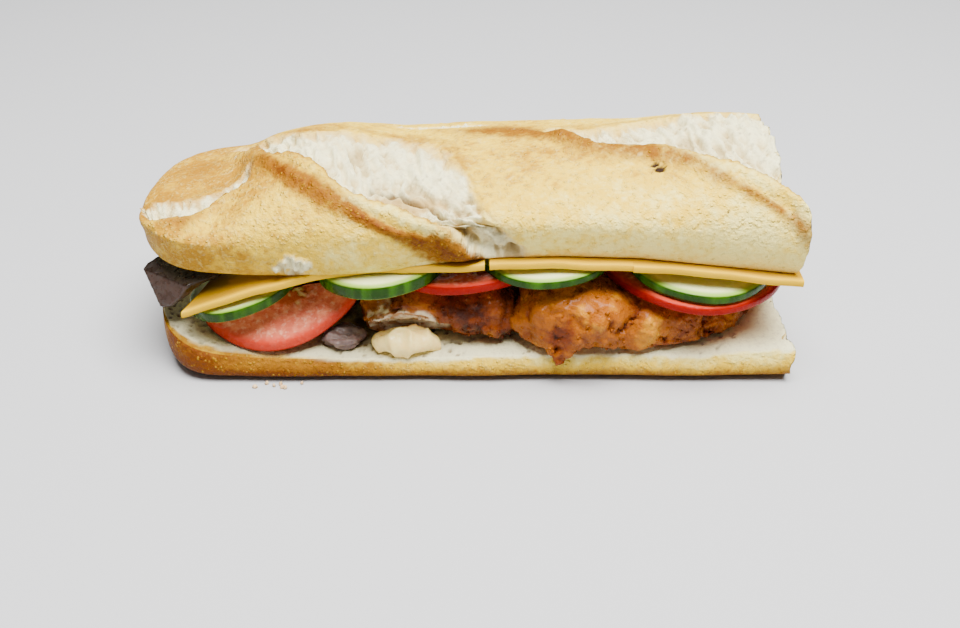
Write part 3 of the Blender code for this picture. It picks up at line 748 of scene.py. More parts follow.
def cucumber_finish(look):
    material, g, shader, place = new_finish("Cucumber slice")
    radial, side, streak = g.read("radial"), g.read("side"), g.read("streak")
    tone = g.mottle(place, 2.2, 1.2)
    flesh = g.mix(g.times(tone, 0.5), look.cucumber_flesh, tint(236, 238, 208))
    middle = g.minus(1.0, g.step(radial, 0.45, 0.72))
    flesh = g.mix(g.times(middle, 0.5), flesh, tint(176, 196, 110))
    flesh = g.mix(g.times(g.read("seed"), 0.6), flesh, tint(238, 230, 190))
    flesh = g.mix(g.step(radial, 0.86, 0.97), flesh, tint(140, 176, 60))
    skin_colour = g.mix(g.step(streak, 0.35, 0.95), look.cucumber_skin, tint(62, 112, 0))
    skin_colour = g.mix(g.times(tone, 0.3), skin_colour, tint(14, 36, 0))
    colour = g.mix(side, flesh, skin_colour)
    g.feed(shader.inputs["Base Color"], colour)
    film = g.moist(place, 2.0, 0.16, 0.42)
    g.feed(shader.inputs["Roughness"], film["Roughness"])
    uniform(shader, Subsurface_Weight=0.1, Subsurface_Scale=0.002, Specular_IOR_Level=0.12,
            Coat_Weight=0.06, Coat_Roughness=0.15)
    bump(g, shader, g.plus(film["Height"], g.times(g.read("seed"), 1.5)), 0.15)
    return material


def tomato_finish(look):
    material, g, shader, place = new_finish("Tomato slice")
    radial, side, gel = g.read("radial"), g.read("side"), g.read("gel")
    tone = g.mottle(place, 2.6, 1.5)
    fibre = g.mottle(place, 1.8, 1.8)
    flesh = g.mix(g.step(tone, 0.3, 0.9), look.tomato_flesh, tint(230, 138, 104))
    flesh = g.mix(g.times(g.step(fibre, 0.5, 0.9), 0.45), flesh, tint(244, 196, 164))
    flesh = g.mix(g.step(radial, 0.84, 1.0), flesh, tint(190, 48, 24))
    flesh = g.mix(g.times(gel, 0.8), flesh, tint(168, 72, 16))
    flesh = g.mix(g.read("seed"), flesh, tint(226, 196, 140))
    colour = g.mix(side, flesh, g.mix(g.times(tone, 0.25), look.tomato_skin, tint(184, 36, 6)))
    g.feed(shader.inputs["Base Color"], colour)
    film = g.moist(place, 1.8, 0.12, 0.36)
    g.feed(shader.inputs["Roughness"], film["Roughness"])
    uniform(shader, Subsurface_Weight=0.05, Subsurface_Scale=0.002, Specular_IOR_Level=0.06,
            Coat_Weight=0.04, Coat_Roughness=0.12)
    bump(g, shader, g.plus(film["Height"], fibre), 0.16)
    return material


def batter_finish(look):
    material, g, shader, place = new_finish("Fried coating")
    fry_and_shade, flesh = g.read("fry_and_shade"), g.read("flesh")
    tone = g.mottle(place, 2.4, 1.4)
    # The fry mark holds the frying tone, with painted shade in the crevices and at the shaded end, and painted
    # highlight on the crags.
    value = g.plus(fry_and_shade, g.times(g.minus(tone, 0.5), 0.45))
    colour = g.mix(g.step(value, -0.1, 0.3), tint(200, 132, 2), look.batter)
    colour = g.mix(g.step(value, 0.4, 0.75), colour, tint(112, 46, 0))
    colour = g.mix(g.step(value, 0.75, 1.1), colour, tint(60, 20, 2))
    meat = g.mix(g.step(g.read("fibre"), 0.25, 0.7), tint(190, 140, 96), tint(238, 218, 184))
    colour = g.mix(flesh, colour, meat)
    g.feed(shader.inputs["Base Color"], colour)
    film = g.moist(place, 1.4, 0.16, 0.45)
    g.feed(shader.inputs["Roughness"], film["Roughness"])
    uniform(shader, Subsurface_Weight=0.06, Subsurface_Scale=0.0015, Specular_IOR_Level=0.12,
            Coat_Weight=0.12, Coat_Roughness=0.16)
    fine = g.plus(g.noise(place, 0.8, 5.0, 0.65), g.times(g.noise(place, 2.6, 3.0, 0.5), 2.0))
    bump(g, shader, g.plus(fine, g.times(film["Height"], 0.5)), 0.5)
    return material


def plain_moist_finish(name, light, dark, size, wet, dry, key=None, key_colour=None):
    """A moist material of two mottled tones, and a third where the points carry a mark."""
    found = bpy.data.materials.get(name)
    if found:
        return found
    material, g, shader, place = new_finish(name)
    tone = g.mottle(place, size, 1.4)
    colour = g.mix(tone, dark, light)
    if key:
        colour = g.mix(g.read(key), colour, key_colour)
    g.feed(shader.inputs["Base Color"], colour)
    film = g.moist(place, size * 0.5, wet, dry)
    g.feed(shader.inputs["Roughness"], film["Roughness"])
    uniform(shader, Subsurface_Weight=0.1, Subsurface_Scale=0.0015,
            Specular_IOR_Level=0.25, Coat_Weight=0.1)
    bump(g, shader, g.plus(film["Height"], g.noise(place, size * 0.3, 4.0)), 0.15)
    return material


# Bread.


def slash_distances(slash, x, w, wobble):
    """Millimetres past the ear, before the far edge and past the brown line, with how far the slash opened."""
    start, end = slash["span"]
    around = ARCH_LENGTH * rounded_end(x, NOSE_X, NOSE_LENGTH, NOSE_ROUNDNESS)
    opened = rise(start, start + slash["taper"][0], x) * (1 - rise(end - slash["taper"][1], end, x))
    near, far = profile(slash["near"], x), profile(slash["far"], x)
    slope = (profile(slash["near"], x + 1) - near) * around
    square = np.sqrt(1 + slope**2)
    wobble = wobble * slash["ragged"]
    past_ear = (w - near) * around / square + wobble
    before_far = (far - w) * around / square + 1.5 * wobble
    past_toast = (w - profile(slash["toast"], x)) * around / square
    return past_ear, before_far, opened, past_toast


def patch(x, w, centre, half):
    """1 in the middle of a round patch of the crust and 0 well outside it; half is in millimetres."""
    return np.exp(-(((x - centre[0]) / half[0]) ** 2) - ((w - centre[1]) * ARCH_LENGTH / half[1]) ** 2)


def torn_strands(x, around):
    """Height of torn crumb, about -1 to 1: strands across the slash and lumps between them."""
    flat = np.stack([x, around, 0 * x], axis=-1)
    lean = x + 0.45 * around + 2.0 * grain(flat, 9.0, 43)
    strands = grain(np.stack([lean / 1.5, around / 5.5, 0 * x], axis=-1), 1.0, 31, 2)
    ridge = 0.5 - np.abs(grain(np.stack([lean / 2.4, around / 8.0, 0 * x + 5], axis=-1), 1.0, 37)) * 2
    lumps = grain(flat, 6.0, 41, 4)
    return 0.5 * strands + 0.4 * ridge + 0.8 * lumps


def along_line(x, w, knots, half):
    """1 on a line over the upper crust and 0 beyond it; half is its half width in millimetres."""
    start, end = knots[0][0], knots[-1][0]
    line = bell((w - profile(knots, x)) * ARCH_LENGTH, half)
    return line * rise(start - 1, start + 1, x) * (1 - rise(end - 1, end + 1, x))


def top_bread_marks(x, w, crust, look):
    """Relief of the upper crust in millimetres, pull of the ears, and the marks for the material."""
    around = w * ARCH_LENGTH * rounded_end(x, NOSE_X, NOSE_LENGTH, NOSE_ROUNDNESS)
    wobble = 1.1 * grain(crust, 8.0, 3) + 0.7 * grain(crust, 2.6, 4) + 0.5 * grain(crust, 1.2, 13)
    relief = 0.6 * grain(crust, 26.0, 1) + 0.3 * grain(crust, 7.0, 2, 3)
    crumb, toast, pull, paler = np.zeros_like(x), np.zeros_like(x), np.zeros_like(x), np.zeros_like(x)
    for slash in SLASHES:
        past, before, opened, past_toast = slash_distances(slash, x, w, wobble)
        paler = np.maximum(paler, opened * bell(past + 3.0, 2.4) * profile(slash["brown"], x))
        step = rise(-0.3, 0.8, past)
        inside = step * rise(-0.5, 3.0, before) * opened
        hollow = slash["depth"] * np.exp(-np.clip(past, 0, None) / 15.0) + 0.5
        lifted = bell(np.clip(past + 1.5, None, 0), 6.0) * (1 - step)
        brown = profile(slash["brown"], x)
        relief = relief + opened * slash["ear"] * lifted - hollow * inside
        relief = relief + 0.7 * opened * bell(past + 2.2, 1.8) * (1 - step)
        relief = relief + 0.8 * brown * bell(past_toast, 2.8)
        relief = relief - 0.5 * brown * bell(past_toast - 4.0, 1.6) * (1 - step)
        pull = pull + opened * 1.6 * bell(np.clip(past, None, 0), 3.0) * (1 - rise(0.0, 1.2, past))
        soft = 0.4 * slash["blend"][1] * grain(crust, 5.0, 8, 2)
        torn = rise(-0.1, 0.6, past) * rise(*slash["blend"], before + soft) * rise(0.0, 0.5, opened)
        crumb = np.maximum(crumb, torn)
        wide = np.where(past_toast < 0, 4.6, 3.4) * (1 + 0.3 * grain(crust, 6.0, 5, 2))
        streaky = 1 + 0.35 * grain(crust, 3.5, 16, 3)
        band = bell(past_toast + 0.6 * wobble, wide) * brown * streaky * (1 - step * opened)
        toast = np.maximum(toast, band)
        edge = bell(np.clip(past + 0.4, None, 0), 0.9) * (1 - step)
        toast = np.maximum(toast, 0.45 * opened * edge)
        toast = np.maximum(toast, 0.3 * opened * bell(before + 3.0, 2.5) * (before < 2))
    flake = rise(0.3, 0.6, patch(x, w, *FLAKE) + 0.5 * grain(crust, 2.5, 6, 2))
    middle, half = SLIVER
    far_out = np.hypot((x - middle[0]) / half[0], (w - middle[1]) * ARCH_LENGTH / half[1])
    sliver = rise(1.1, 0.7, far_out + 0.35 * grain(crust, 2.0, 7, 2))
    crumb = np.maximum(crumb, np.maximum(flake, sliver))
    crack = along_line(x, w + 0.006 * grain(crust, 2.4, 15, 2), CRACK, 1.2) * crumb
    strands = torn_strands(x, around)
    relief = relief + crumb * (look.tear_relief / MM * 4.2 * strands - 2.4 * crack) + 0.5 * flake
    for strength, centre, half in TOASTED_PATCHES:
        toast = np.maximum(toast, strength * patch(x, w, centre, half))
    stain_and_shade = sum(strength * patch(x, w, centre, half) for strength, centre, half in BAKED_LAYERS)
    grey = 0.2 * patch(x, w, *GREY_CRUMB) * crumb
    char = np.zeros_like(x)
    for centre, half in SCORCH_MARKS:
        ragged = patch(x, w, centre, (half * 1.3, half)) * (1 + 0.5 * grain(crust, 0.8, 9))
        char = np.maximum(char, rise(0.3, 0.6, ragged))
    marks = {"crumb": crumb, "toast": toast, "grey": grey, "char": char,
             "stain_and_shade": np.clip(stain_and_shade, 0, 1) * crumb, "bake": np.clip(baked(x, w) - 0.3 * paler, 0, 1)}
    fine = 0.25 * rise(0.0, 0.5, grain(crust, 1.9, 12, 2)) + 2.4 * (1 - crumb)
    # Painted shade in the valleys between the torn strands, added to the baked layers and to the yellow where
    # crumb meets crust.
    marks["stain_and_shade"] = np.clip(marks["stain_and_shade"] + crumb * (0.6 * rise(-0.05, 0.7, -strands) + fine), 0, 1)
    holes = rise(0.35, 0.75, grain(crust, 1.5, 14, 2))
    # Painted shade in the valleys between the strands, in the holes and along the crack.
    marks["pit_shade"] = np.clip(crumb * (rise(0.3, 0.9, -strands) * 0.4 + 0.5 * holes) + crack, 0, 1)
    return relief - 0.5 * char, pull, marks


def baked(x, w):
    """How golden the upper crust is, from 0 to 1."""
    along = profile([(-120, 0.95), (-98, 0.85), (-84, 0.72), (-62, 0.66), (-40, 0.55), (-20, 0.48), (20, 0.48),
                     (60, 0.4), (110, 0.3)], x)
    low = rise(0.26, 0.0, w) * profile([(-120, -0.1), (-80, -0.05), (-50, 0.2), (110, 0.4)], x)
    return np.clip(along - low + 0.25 * bell(w - 0.48, 0.13) + 0.15 * rise(0.6, 0.8, w), 0, 1)


def build_top_bread(look):
    xs = nose_stations(NOSE_X, CUT_X, NOSE_LENGTH, 372, 50)
    ws = np.concatenate([np.linspace(0.0, 0.66, 150), np.linspace(0.66, 1.0, 42)[1:]])
    x, w = np.meshgrid(xs, ws, indexing="ij")
    crust = arch(x, w)
    relief, pull, marks = top_bread_marks(x, w, crust, look)
    edge = rise(0.0, 0.03, w) * rise(0.0, 0.04, 1 - w)
    over = np.gradient(crust, axis=1)
    over /= np.linalg.norm(over, axis=-1, keepdims=True) + 1e-9
    crust = crust + outward(crust) * (relief * edge)[..., None] + over * (pull * edge)[..., None]
    share = np.linspace(0, 1, 30)[1:-1]
    under = crust[:, -1:, :] + (crust[:, :1, :] - crust[:, -1:, :]) * share[None, :, None]
    drape = bell(x - LIP_DRAPE_X, LIP_DRAPE_LENGTH) * rise(0.10, 0.0, w)
    crust[..., 2] -= LIP_DRAPE * drape
    crust[..., 1] -= 0.6 * LIP_DRAPE * drape
    under_edge = rise(0.0, 0.12, share) * rise(0.0, 0.12, 1 - share)
    first, _ = bubbles(under, 4.0, 51)
    pores = rise(0.45, 0.1, first)
    under[..., 2] += (0.5 * grain(under, 5.0, 52, 2) + look.pore_depth / MM * pores) * under_edge
    rings = np.concatenate([crust, under], axis=1)
    ones = np.ones(under.shape[:2])
    # Painted shade in the pores of the underside.
    filled = {"crumb": ones, "pit_shade": 0.35 * pores}
    marks = {k: np.concatenate([v, filled.get(k, 0 * ones)], axis=1) for k, v in marks.items()}
    rings = close_ends(rings, NOSE_CAP_RINGS, CUT_RINGS)
    marks = {k: widen(v, NOSE_CAP_RINGS, CUT_RINGS) for k, v in marks.items()}
    marks["crumb"] *= rise(NOSE_X + 0.6, NOSE_X + 2.5, rings[..., 0])
    marks["bake"] = np.maximum(marks["bake"], 0.9 * rise(NOSE_X + 4.0, NOSE_X + 0.6, rings[..., 0]))
    bare_cut(rings, marks, look, 1.0)
    piece = skin("upper_loaf", rings, marks, bread_finish(look))
    serve(piece, "top_bread")


def bare_cut(rings, marks, look, tear):
    """Bares the crumb on the cut end that close_ends filled, torn unevenly, with a rim of crust."""
    end = rings[-CUT_RINGS - CUT_TEAR_RINGS:]
    fade = np.minimum(np.arange(len(end)) / CUT_TEAR_RINGS, 1.0)[:, None]
    end[..., 0] += tear * fade * (grain(end * np.array([0, 1, 1]), 7.0, 64, 3) - 0.2)
    cut = rings[-CUT_RINGS:]
    bent = cut + 1.5 * np.stack([grain(cut, 5.0, seed, 2) for seed in (65, 66, 67)], axis=-1)
    large, _ = bubbles(bent, 6.0, 61)
    small, _ = bubbles(bent, 2.8, 63)
    pores = np.maximum(rise(0.42, 0.2, large), 0.6 * rise(0.42, 0.15, small))
    cut[..., 0] -= 1.3 * pores * look.pore_depth / MM + 0.35 * (grain(cut, 3.0, 62, 2) + 1)
    marks["crumb"][-CUT_RINGS:] = 1.0
    for key in ("toast", "grey", "char"):
        marks[key][-CUT_RINGS:] = 0.0
    # Painted shade in the pores of the cut face, in both marks below.
    marks["stain_and_shade"][-CUT_RINGS:] = 0.5 * pores
    marks["pit_shade"][-CUT_RINGS:] = 0.3 * rise(0.5, 1.0, pores)
    marks["crumb"][-CUT_RINGS] = 0.35


def build_bottom_bread(look):
    xs = nose_stations(BASE_NOSE_X, BASE_CUT_X, BASE_NOSE_LENGTH, 320, 44)
    side_count, top_count = 90, 84
    rings = np.zeros((len(xs), side_count + top_count, 3))
    for i, x in enumerate(xs):
        end = float(rounded_end(x, BASE_NOSE_X, BASE_NOSE_LENGTH, BASE_NOSE_ROUNDNESS))
        rim = float(profile(RIM_HEIGHT, x))
        middle = -BASE_NOSE_FORWARD * (1 - end)
        half = BASE_HALF_WIDTH * max(end, 0.05)
        y, z = base_side(half, rim, rim * 0.72 * (1 - end) ** 0.9, side_count)
        rings[i, :side_count, 1] = middle + y
        rings[i, :side_count, 2] = z
        share = np.linspace(1, -1, top_count + 2)[1:-1]
        rings[i, side_count:, 1] = middle + y[-1] * share
        rings[i, side_count:, 2] = rim + CRUMB_RISE * rise(1.0, 0.9, np.abs(share))
        rings[i, :, 0] = x
    crust, top = rings[:, :side_count], rings[:, side_count:]
    away = crust - crust.mean(axis=1, keepdims=True)
    away[..., 0] = 0
    away /= np.linalg.norm(away, axis=-1, keepdims=True) + 1e-9
    wave = 0.5 * grain(crust, 24.0, 71) + 0.22 * grain(crust, 6.0, 72, 3)
    crust += away * (wave * rise(0.3, 2.5, crust[..., 2]))[..., None]
    crust[..., 2] = np.maximum(crust[..., 2], 0.0)
    edge = rise(0, 3, np.arange(top_count))[None] * rise(0, 3, np.arange(top_count)[::-1])[None]
    first, _ = bubbles(top, 2.6, 73)
    pores = rise(0.44, 0.14, first) * rise(-0.4, 0.3, grain(top, 9.0, 74))
    rough = 0.45 * grain(top, 4.0, 75, 3) + 0.25 * grain(top, 1.2, 76)
    top[..., 2] += (rough + 0.2 - pores * look.pore_depth / MM) * edge
    x, z = crust[..., 0], crust[..., 2]
    rim = profile(RIM_HEIGHT, x)
    down = 1 - np.clip(z / rim, 0, 1)
    golden = profile([(-120, 1.0), (-80, 0.95), (-55, 0.7), (-30, 0.35), (0, 0.2), (112, 0.12)], x)
    # Painted shade: the crust grows more golden and toasted towards its foot. This is partly a more baked
    # underside and partly painted shadow at the foot of the loaf, under the upper half.
    lower = profile([(-60, 1.0), (-25, 0.85), (112, 0.75)], x)
    golden = golden + 1.3 * lower * down
    toast = profile([(-120, 1.35), (-85, 1.2), (-60, 0.9), (-35, 0.35), (0, 0.12), (112, 0.05)], x)
    toast = toast * (0.7 + 0.5 * grain(crust, 9.0, 77)) + 0.8 * lower * rise(0.15, 0.95, down)
    none_top, none_side = np.zeros(top.shape[:2]), np.zeros(crust.shape[:2])
    ragged = (0.6 + 1.1 * grain(crust, 4.0, 79, 3)) * rise(-90, -30, x)
    rim_mask = rise(0.5, -0.5, rim - z - ragged) * (np.abs(crust[..., 1]) > 1) * rise(-62, -44, x)
    inward = (1 - np.abs(share)) * BASE_HALF_WIDTH
    crusty_rim = profile(BAKED_RIM, top[..., 0]) * (1 + 0.5 * grain(top, 5.0, 80, 2))
    bare = rise(-0.6, 0.6, inward[None] - crusty_rim)
    sunk = bell(inward[None] / (crusty_rim + 0.4), 1.0)
    top[..., 2] -= 0.7 * sunk * rise(0, 2, np.arange(top_count))[None]
    # Painted shade: the crumb is greyer towards the nose, where the upper loaf and the fillings shade it.
    grey = profile([(-120, 0.3), (-95, 0.5), (-50, 0.4), (10, 0.15), (50, 0.05), (112, 0.0)], top[..., 0])
    depth = top[..., 1] + 2 * grain(top, 4.0, 82)
    # Painted shade on the crumb in the gap between the tomato and the left escalope.
    gap_shade = bell(top[..., 0] - GAP_SHADE_X, 8.0) * rise(-37, -31, depth) * rise(-8, -18, depth)
    # Painted shade in the pores, in the valleys of the crumb and in the gap between the tomato and the
    # escalope.
    recess_shade = np.clip(pores * 0.9 + 0.3 * rise(0.1, 0.6, -rough) + gap_shade, 0, 1)
    parts = {
        "crumb": (rim_mask, bare),
        "toast": (toast, 0.35 * (1 - bare)),
        "bake": (golden, none_top + 0.8),
        "stain_and_shade": (none_side, none_top),
        "grey": (none_side, grey * (0.8 + 0.5 * grain(top, 6.0, 78))),
        "char": (none_side, none_top),
        "pit_shade": (none_side, recess_shade),
    }
    marks = {key: np.concatenate(values, axis=1) for key, values in parts.items()}
    rings = close_ends(rings, NOSE_CAP_RINGS, CUT_RINGS)
    marks = {k: widen(v, NOSE_CAP_RINGS, CUT_RINGS) for k, v in marks.items()}
    tip = rise(BASE_NOSE_X + 3.0, BASE_NOSE_X + 0.6, rings[..., 0])
    marks["crumb"] *= 1 - tip
    marks["bake"] = np.maximum(marks["bake"], tip)
    marks["toast"] = np.maximum(marks["toast"], 0.9 * tip)
    bare_cut(rings, marks, look, 2.2)
    piece = skin("lower_loaf", rings, marks, bread_finish(look))
    serve(piece, "bottom_bread")


# Fillings.


def build_cheese(look):
    finish = cheese_finish(look)
    for name, (start, end, front, back, lean) in CHEESES.items():
        turn = np.linspace(-math.pi / 2, math.pi / 2, 9)
        half, bevel = CHEESE_THICKNESS / 2, 0.8
        rounding = half * np.sign(turn) * np.abs(np.sin(turn)) ** 0.8
        lip = np.stack([bevel * np.cos(turn) ** 0.6, rounding], axis=-1)
        inner = np.linspace(0, 1, 40)[1:-1]
        rings, lit_edges = [], []
        for x in np.linspace(start, end, int((end - start) * 1.2)):
            wave = CHEESE_WAVE * math.sin(x * CHEESE_WAVE_RATE) + 0.25 * math.sin(x * 0.31)
            dip = CHEESE_DIP * math.exp(-(((x - CHEESE_DIP_X) / CHEESE_DIP_LENGTH) ** 2))
            y0, y1 = front + wave + dip + bevel, back - wave - bevel
            ring = [(y0 - a, b) for a, b in lip] + [(y0 + (y1 - y0) * s, half) for s in inner]
            ring += [(y1 + a, b) for a, b in lip[::-1]] + [(y1 + (y0 - y1) * s, -half) for s in inner]
            ring = np.array(ring)
            along = x + lean * (end - x) / (end - start) * (ring[:, 0] - y0) / (y1 - y0)
            height = profile(CHEESE_UNDERSIDE, along) + half + ring[:, 1]
            rings.append(np.stack([along, ring[:, 0], height], axis=-1))
            # Marks the edge faces, which the material paints brighter.
            lit_edges.append([1.0] * 9 + [0.0] * 38 + [1.0] * 9 + [0.0] * 38)
        rings = np.array(rings)
        rings[..., 2] += 0.25 * grain(rings * np.array([1, 1, 0]), 16.0, 81)
        rings = close_ends(rings, 3, 3)
        piece = skin(name + "_slice", rings, {"edge": widen(np.array(lit_edges), 3, 3)}, finish)
        piece.data.set_sharp_from_angle(angle=math.radians(50))
        serve(piece, name)


def slice_rings(spec, sides, cut_back=None):
    """Rings of a round slice from the middle of its underside to the middle of its top, and their shares."""
    cx, cy, radius, height, thickness, slope_x, slope_y = spec
    faces = np.linspace(0.04, 0.93, 22)
    shares = np.concatenate([faces, SLICE_EDGE_SHARES, faces[::-1]])
    levels = np.concatenate([0 * faces - 0.5, SLICE_EDGE_LEVELS, 0 * faces + 0.5])
    angle = np.linspace(0, 2 * math.pi, sides, endpoint=False)
    wave = 1 + 0.015 * np.sin(3 * angle + cx) + 0.01 * np.sin(5 * angle + cy)
    dx = radius * shares[:, None] * wave * np.cos(angle) / math.hypot(1, slope_x)
    dy = radius * shares[:, None] * wave * np.sin(angle) / math.hypot(1, slope_y)
    if cut_back is not None:
        dy = np.minimum(dy, cut_back - cy - (1 - shares[:, None]) * 1.5)
    z = height + slope_x * dx + slope_y * dy + levels[:, None] * thickness
    rings = np.stack([cx + dx, cy + dy, z], axis=-1)
    radial = np.repeat(shares[:, None], sides, axis=1)
    side = np.repeat((np.abs(levels) < 0.45)[:, None] * 1.0, sides, axis=1)
    return rings, radial, side, np.repeat(angle[None], len(shares), axis=0)


def build_cucumbers(look):
    finish = cucumber_finish(look)
    for number, (name, spec) in enumerate(CUCUMBERS.items()):
        rings, radial, side, angle = slice_rings(spec, 150)
        turn = np.stack([np.cos(angle) * 5, np.sin(angle) * 5, 0 * angle + number], axis=-1)
        streak = 0.5 + 0.5 * grain(turn, 0.55, 91 + number, 2)
        petal = np.abs(np.sin(angle * 1.5 + number))
        place = np.stack([np.cos(angle) * 4, np.sin(angle) * 4, radial * 6], axis=-1)
        seeds = rise(0.5, 0.9, grain(place, 0.9, 95)) * rise(0.25, 0.35, radial) * rise(0.66, 0.55, radial)
        seeds = seeds * rise(0.1, 0.4, petal) * (1 - side)
        rings[..., 2] += 0.3 * grain(rings * np.array([1, 1, 0]), 14.0, 96 + number)
        marks = {"radial": radial, "side": side, "streak": streak, "seed": seeds}
        piece = skin(name + "_slice", rings, marks, finish)
        serve(piece, name)


def build_tomatoes(look):
    finish = tomato_finish(look)
    for number, (name, spec) in enumerate(TOMATOES.items()):
        cut_back = HALF_SLICE_BACK if name == "tomato_left" else None
        rings, radial, side, angle = slice_rings(spec, 160, cut_back)
        cell = np.abs(np.sin(angle * 2.5 + number))
        gel = rise(0.35, 0.7, cell) * rise(0.22, 0.34, radial) * rise(0.78, 0.66, radial) * (1 - side)
        if name == "tomato_left":
            radial = radial * 0.97
            side = side * rise(-0.9, -1.6, rings[..., 2] - spec[3] - spec[5] * (rings[..., 0] - spec[0])
                               - spec[6] * (rings[..., 1] - spec[1]))
            rings[..., 0] = HALF_SLICE_END + HALF_SLICE_STRETCH * (rings[..., 0] - HALF_SLICE_END)
            rings[..., 1] = HALF_SLICE_BACK + HALF_SLICE_DEPTH * (rings[..., 1] - HALF_SLICE_BACK)
            from_gel = np.hypot(rings[..., 0] - GEL_MIDDLE[0], 1.4 * (rings[..., 1] - GEL_MIDDLE[1]))
            gel = rise(0.35, 0.6, bell(from_gel, 7.0)) * (1 - side)
        specks = grain(rings, 1.8, 101)
        seeds = gel * rise(0.45, 0.7, specks)
        face = np.sign(rings[..., 2] - spec[3] + 1e-6)
        rings[..., 2] += np.where(side > 0, 0, -0.5 * gel + 0.5 * seeds) * face
        rings[..., 2] += 0.3 * grain(rings * np.array([1, 1, 0]), 16.0, 103 + number)
        marks = {"radial": radial, "side": side, "gel": gel, "seed": seeds}
        piece = skin(name + "_slice", rings, marks, finish)
        serve(piece, name)


def build_escalope(look):
    finish = batter_finish(look)
    for seed, name in ((111, "escalope_left"), (121, "escalope_right")):
        points, normals, mesh = refined(name, name + "_fried", 0.7)
        bent = points + 2.5 * np.stack([grain(points, 6.0, seed + k, 3) for k in (5, 6, 7)], axis=-1)
        large, _ = bubbles(bent, 9.0, seed)
        small, second = bubbles(bent, 3.6, seed + 2)
        patchy = rise(-0.4, 0.5, grain(points, 6.0, seed + 10))
        crag = 2.2 * (0.55 - large) + 0.9 * grain(points, 9.0, seed + 1, 2) + 1.9 * patchy * (0.5 - small)
        crevice = bell(second - small, 0.14) * rise(0.2, 0.9, -crag)
        # Frying tone, darker in the crevices and paler on the raised crags: painted shade and painted
        # highlight.
        fry_and_shade = 0.42 + 0.6 * grain(points, 10.0, seed + 4, 3) - 0.2 * crag + 0.25 * crevice
        height = (crag - 0.8 * crevice + 0.2 * grain(points, 1.3, seed + 3, 2)) * look.crag_height / MM
        height *= 1 - 0.7 * rise(0.3, 0.9, np.abs(normals[:, 2]))
        for centre, radius, swell, darker in BATTER_LUMPS:
            near = bell(np.linalg.norm(bent * 0.3 + points * 0.7 - np.array(centre), axis=-1), radius)
            near = rise(0.15, 0.85, near)
            height += swell * near
            fry_and_shade += darker * near
        # Painted shade: the right end of the left piece is darker, as it lies in shadow.
        if name == "escalope_left":
            fry_and_shade += 0.3 * rise(-20, -5, points[:, 0])
        along = (points[:, 0] - TEAR_MIDDLE[0]) / TEAR_HALF[0]
        up = (points[:, 2] - TEAR_MIDDLE[1]) / TEAR_HALF[1]
        torn = bell(np.hypot(along, up), 1.0) * rise(14, 24, -points[:, 1])
        torn = rise(0.32, 0.5, torn + 0.15 * grain(points, 3.0, seed + 8))
        fibre = grain(points * np.array([0.35, 1.0, 1.6]), 1.6, seed + 9, 2)
        height = height * (1 - torn) + torn * (0.9 * fibre - 0.6)
        mark(mesh, "fry_and_shade", np.clip(fry_and_shade, 0, 1))
        mark(mesh, "flesh", torn)
        mark(mesh, "fibre", np.clip(0.5 + fibre, 0, 1))
        put_points(mesh, points + normals * height[:, None])
        piece = add_piece(name + "_fried", mesh, finish)
        serve(piece, name)


def build_aubergine(look):
    finish = plain_moist_finish("Grilled aubergine", tint(76, 60, 52), tint(50, 36, 30), 4.0, 0.22, 0.5, "skin",
                                tint(36, 24, 16))
    flaky = plain_moist_finish("Flaked aubergine", tint(140, 116, 108), tint(74, 54, 50), 1.8, 0.3, 0.6)
    for seed, name in ((131, "aubergine_end"), (136, "aubergine_under"), (141, "aubergine_bit")):
        points, normals, mesh = refined(name, name + "_grilled", 0.5, 24)
        height = 0.5 * grain(points, 5.0, seed, 3)
        dark = rise(-0.2, 0.3, grain(points, 9.0, seed + 1) + 0.4 * normals[:, 2])
        if name == "aubergine_bit":
            middle, low = points.mean(axis=0), points.min(axis=0)
            points = np.stack([middle[0] + 1.2 * (points[:, 0] - middle[0]), points[:, 1],
                               low[2] + 0.78 * (points[:, 2] - low[2])], axis=-1)
            height = 2.6 * grain(points * np.array([0.5, 1.2, 1.8]), 3.0, seed, 3)
            dark = 0.0 * dark
        points = points + normals * height[:, None]
        if name == "aubergine_end":
            points = points - np.array([1.5, 0.0, 0.0])
            for number, (facing, through) in enumerate(AUBERGINE_CUTS):
                facing = np.array(facing) / np.linalg.norm(facing)
                beyond = points @ facing - np.dot(facing, through)
                points = points - np.clip(beyond, 0, None)[:, None] * facing
                cut = rise(-0.5, 0.0, beyond)
                dark = dark * (1 - cut) if number == 0 else np.maximum(dark, cut)
            points += normals * (0.25 * grain(points, 2.2, seed + 3, 2))[:, None]
        mark(mesh, "skin", dark)
        put_points(mesh, points)
        piece = add_piece(name + "_grilled", mesh, flaky if name == "aubergine_bit" else finish)
        serve(piece, name)


def build_mayonnaise(look):
    finish = plain_moist_finish("Mayonnaise", tint(254, 232, 150), tint(242, 204, 116), 4.0, 0.2, 0.4)
    points, normals, mesh = refined("mayonnaise", "mayonnaise_dollop", 0.45, 36)
    folds = 0.4 - 1.8 * np.abs(grain(points * np.array([1, 1, 0.7]), 5.5, 151))
    height = 0.95 * folds + 0.2 * grain(points, 2.0, 153, 2) + 0.5 * grain(points, 9.0, 155) + 0.9
    moved = points + normals * height[:, None]
    low = points[:, 2].min()
    moved[:, 2] = low + MAYONNAISE_RISE * (moved[:, 2] - low)
    put_points(mesh, moved)
    serve(add_piece("mayonnaise_dollop", mesh, finish), "mayonnaise")


# Scattered crumbs and grains.


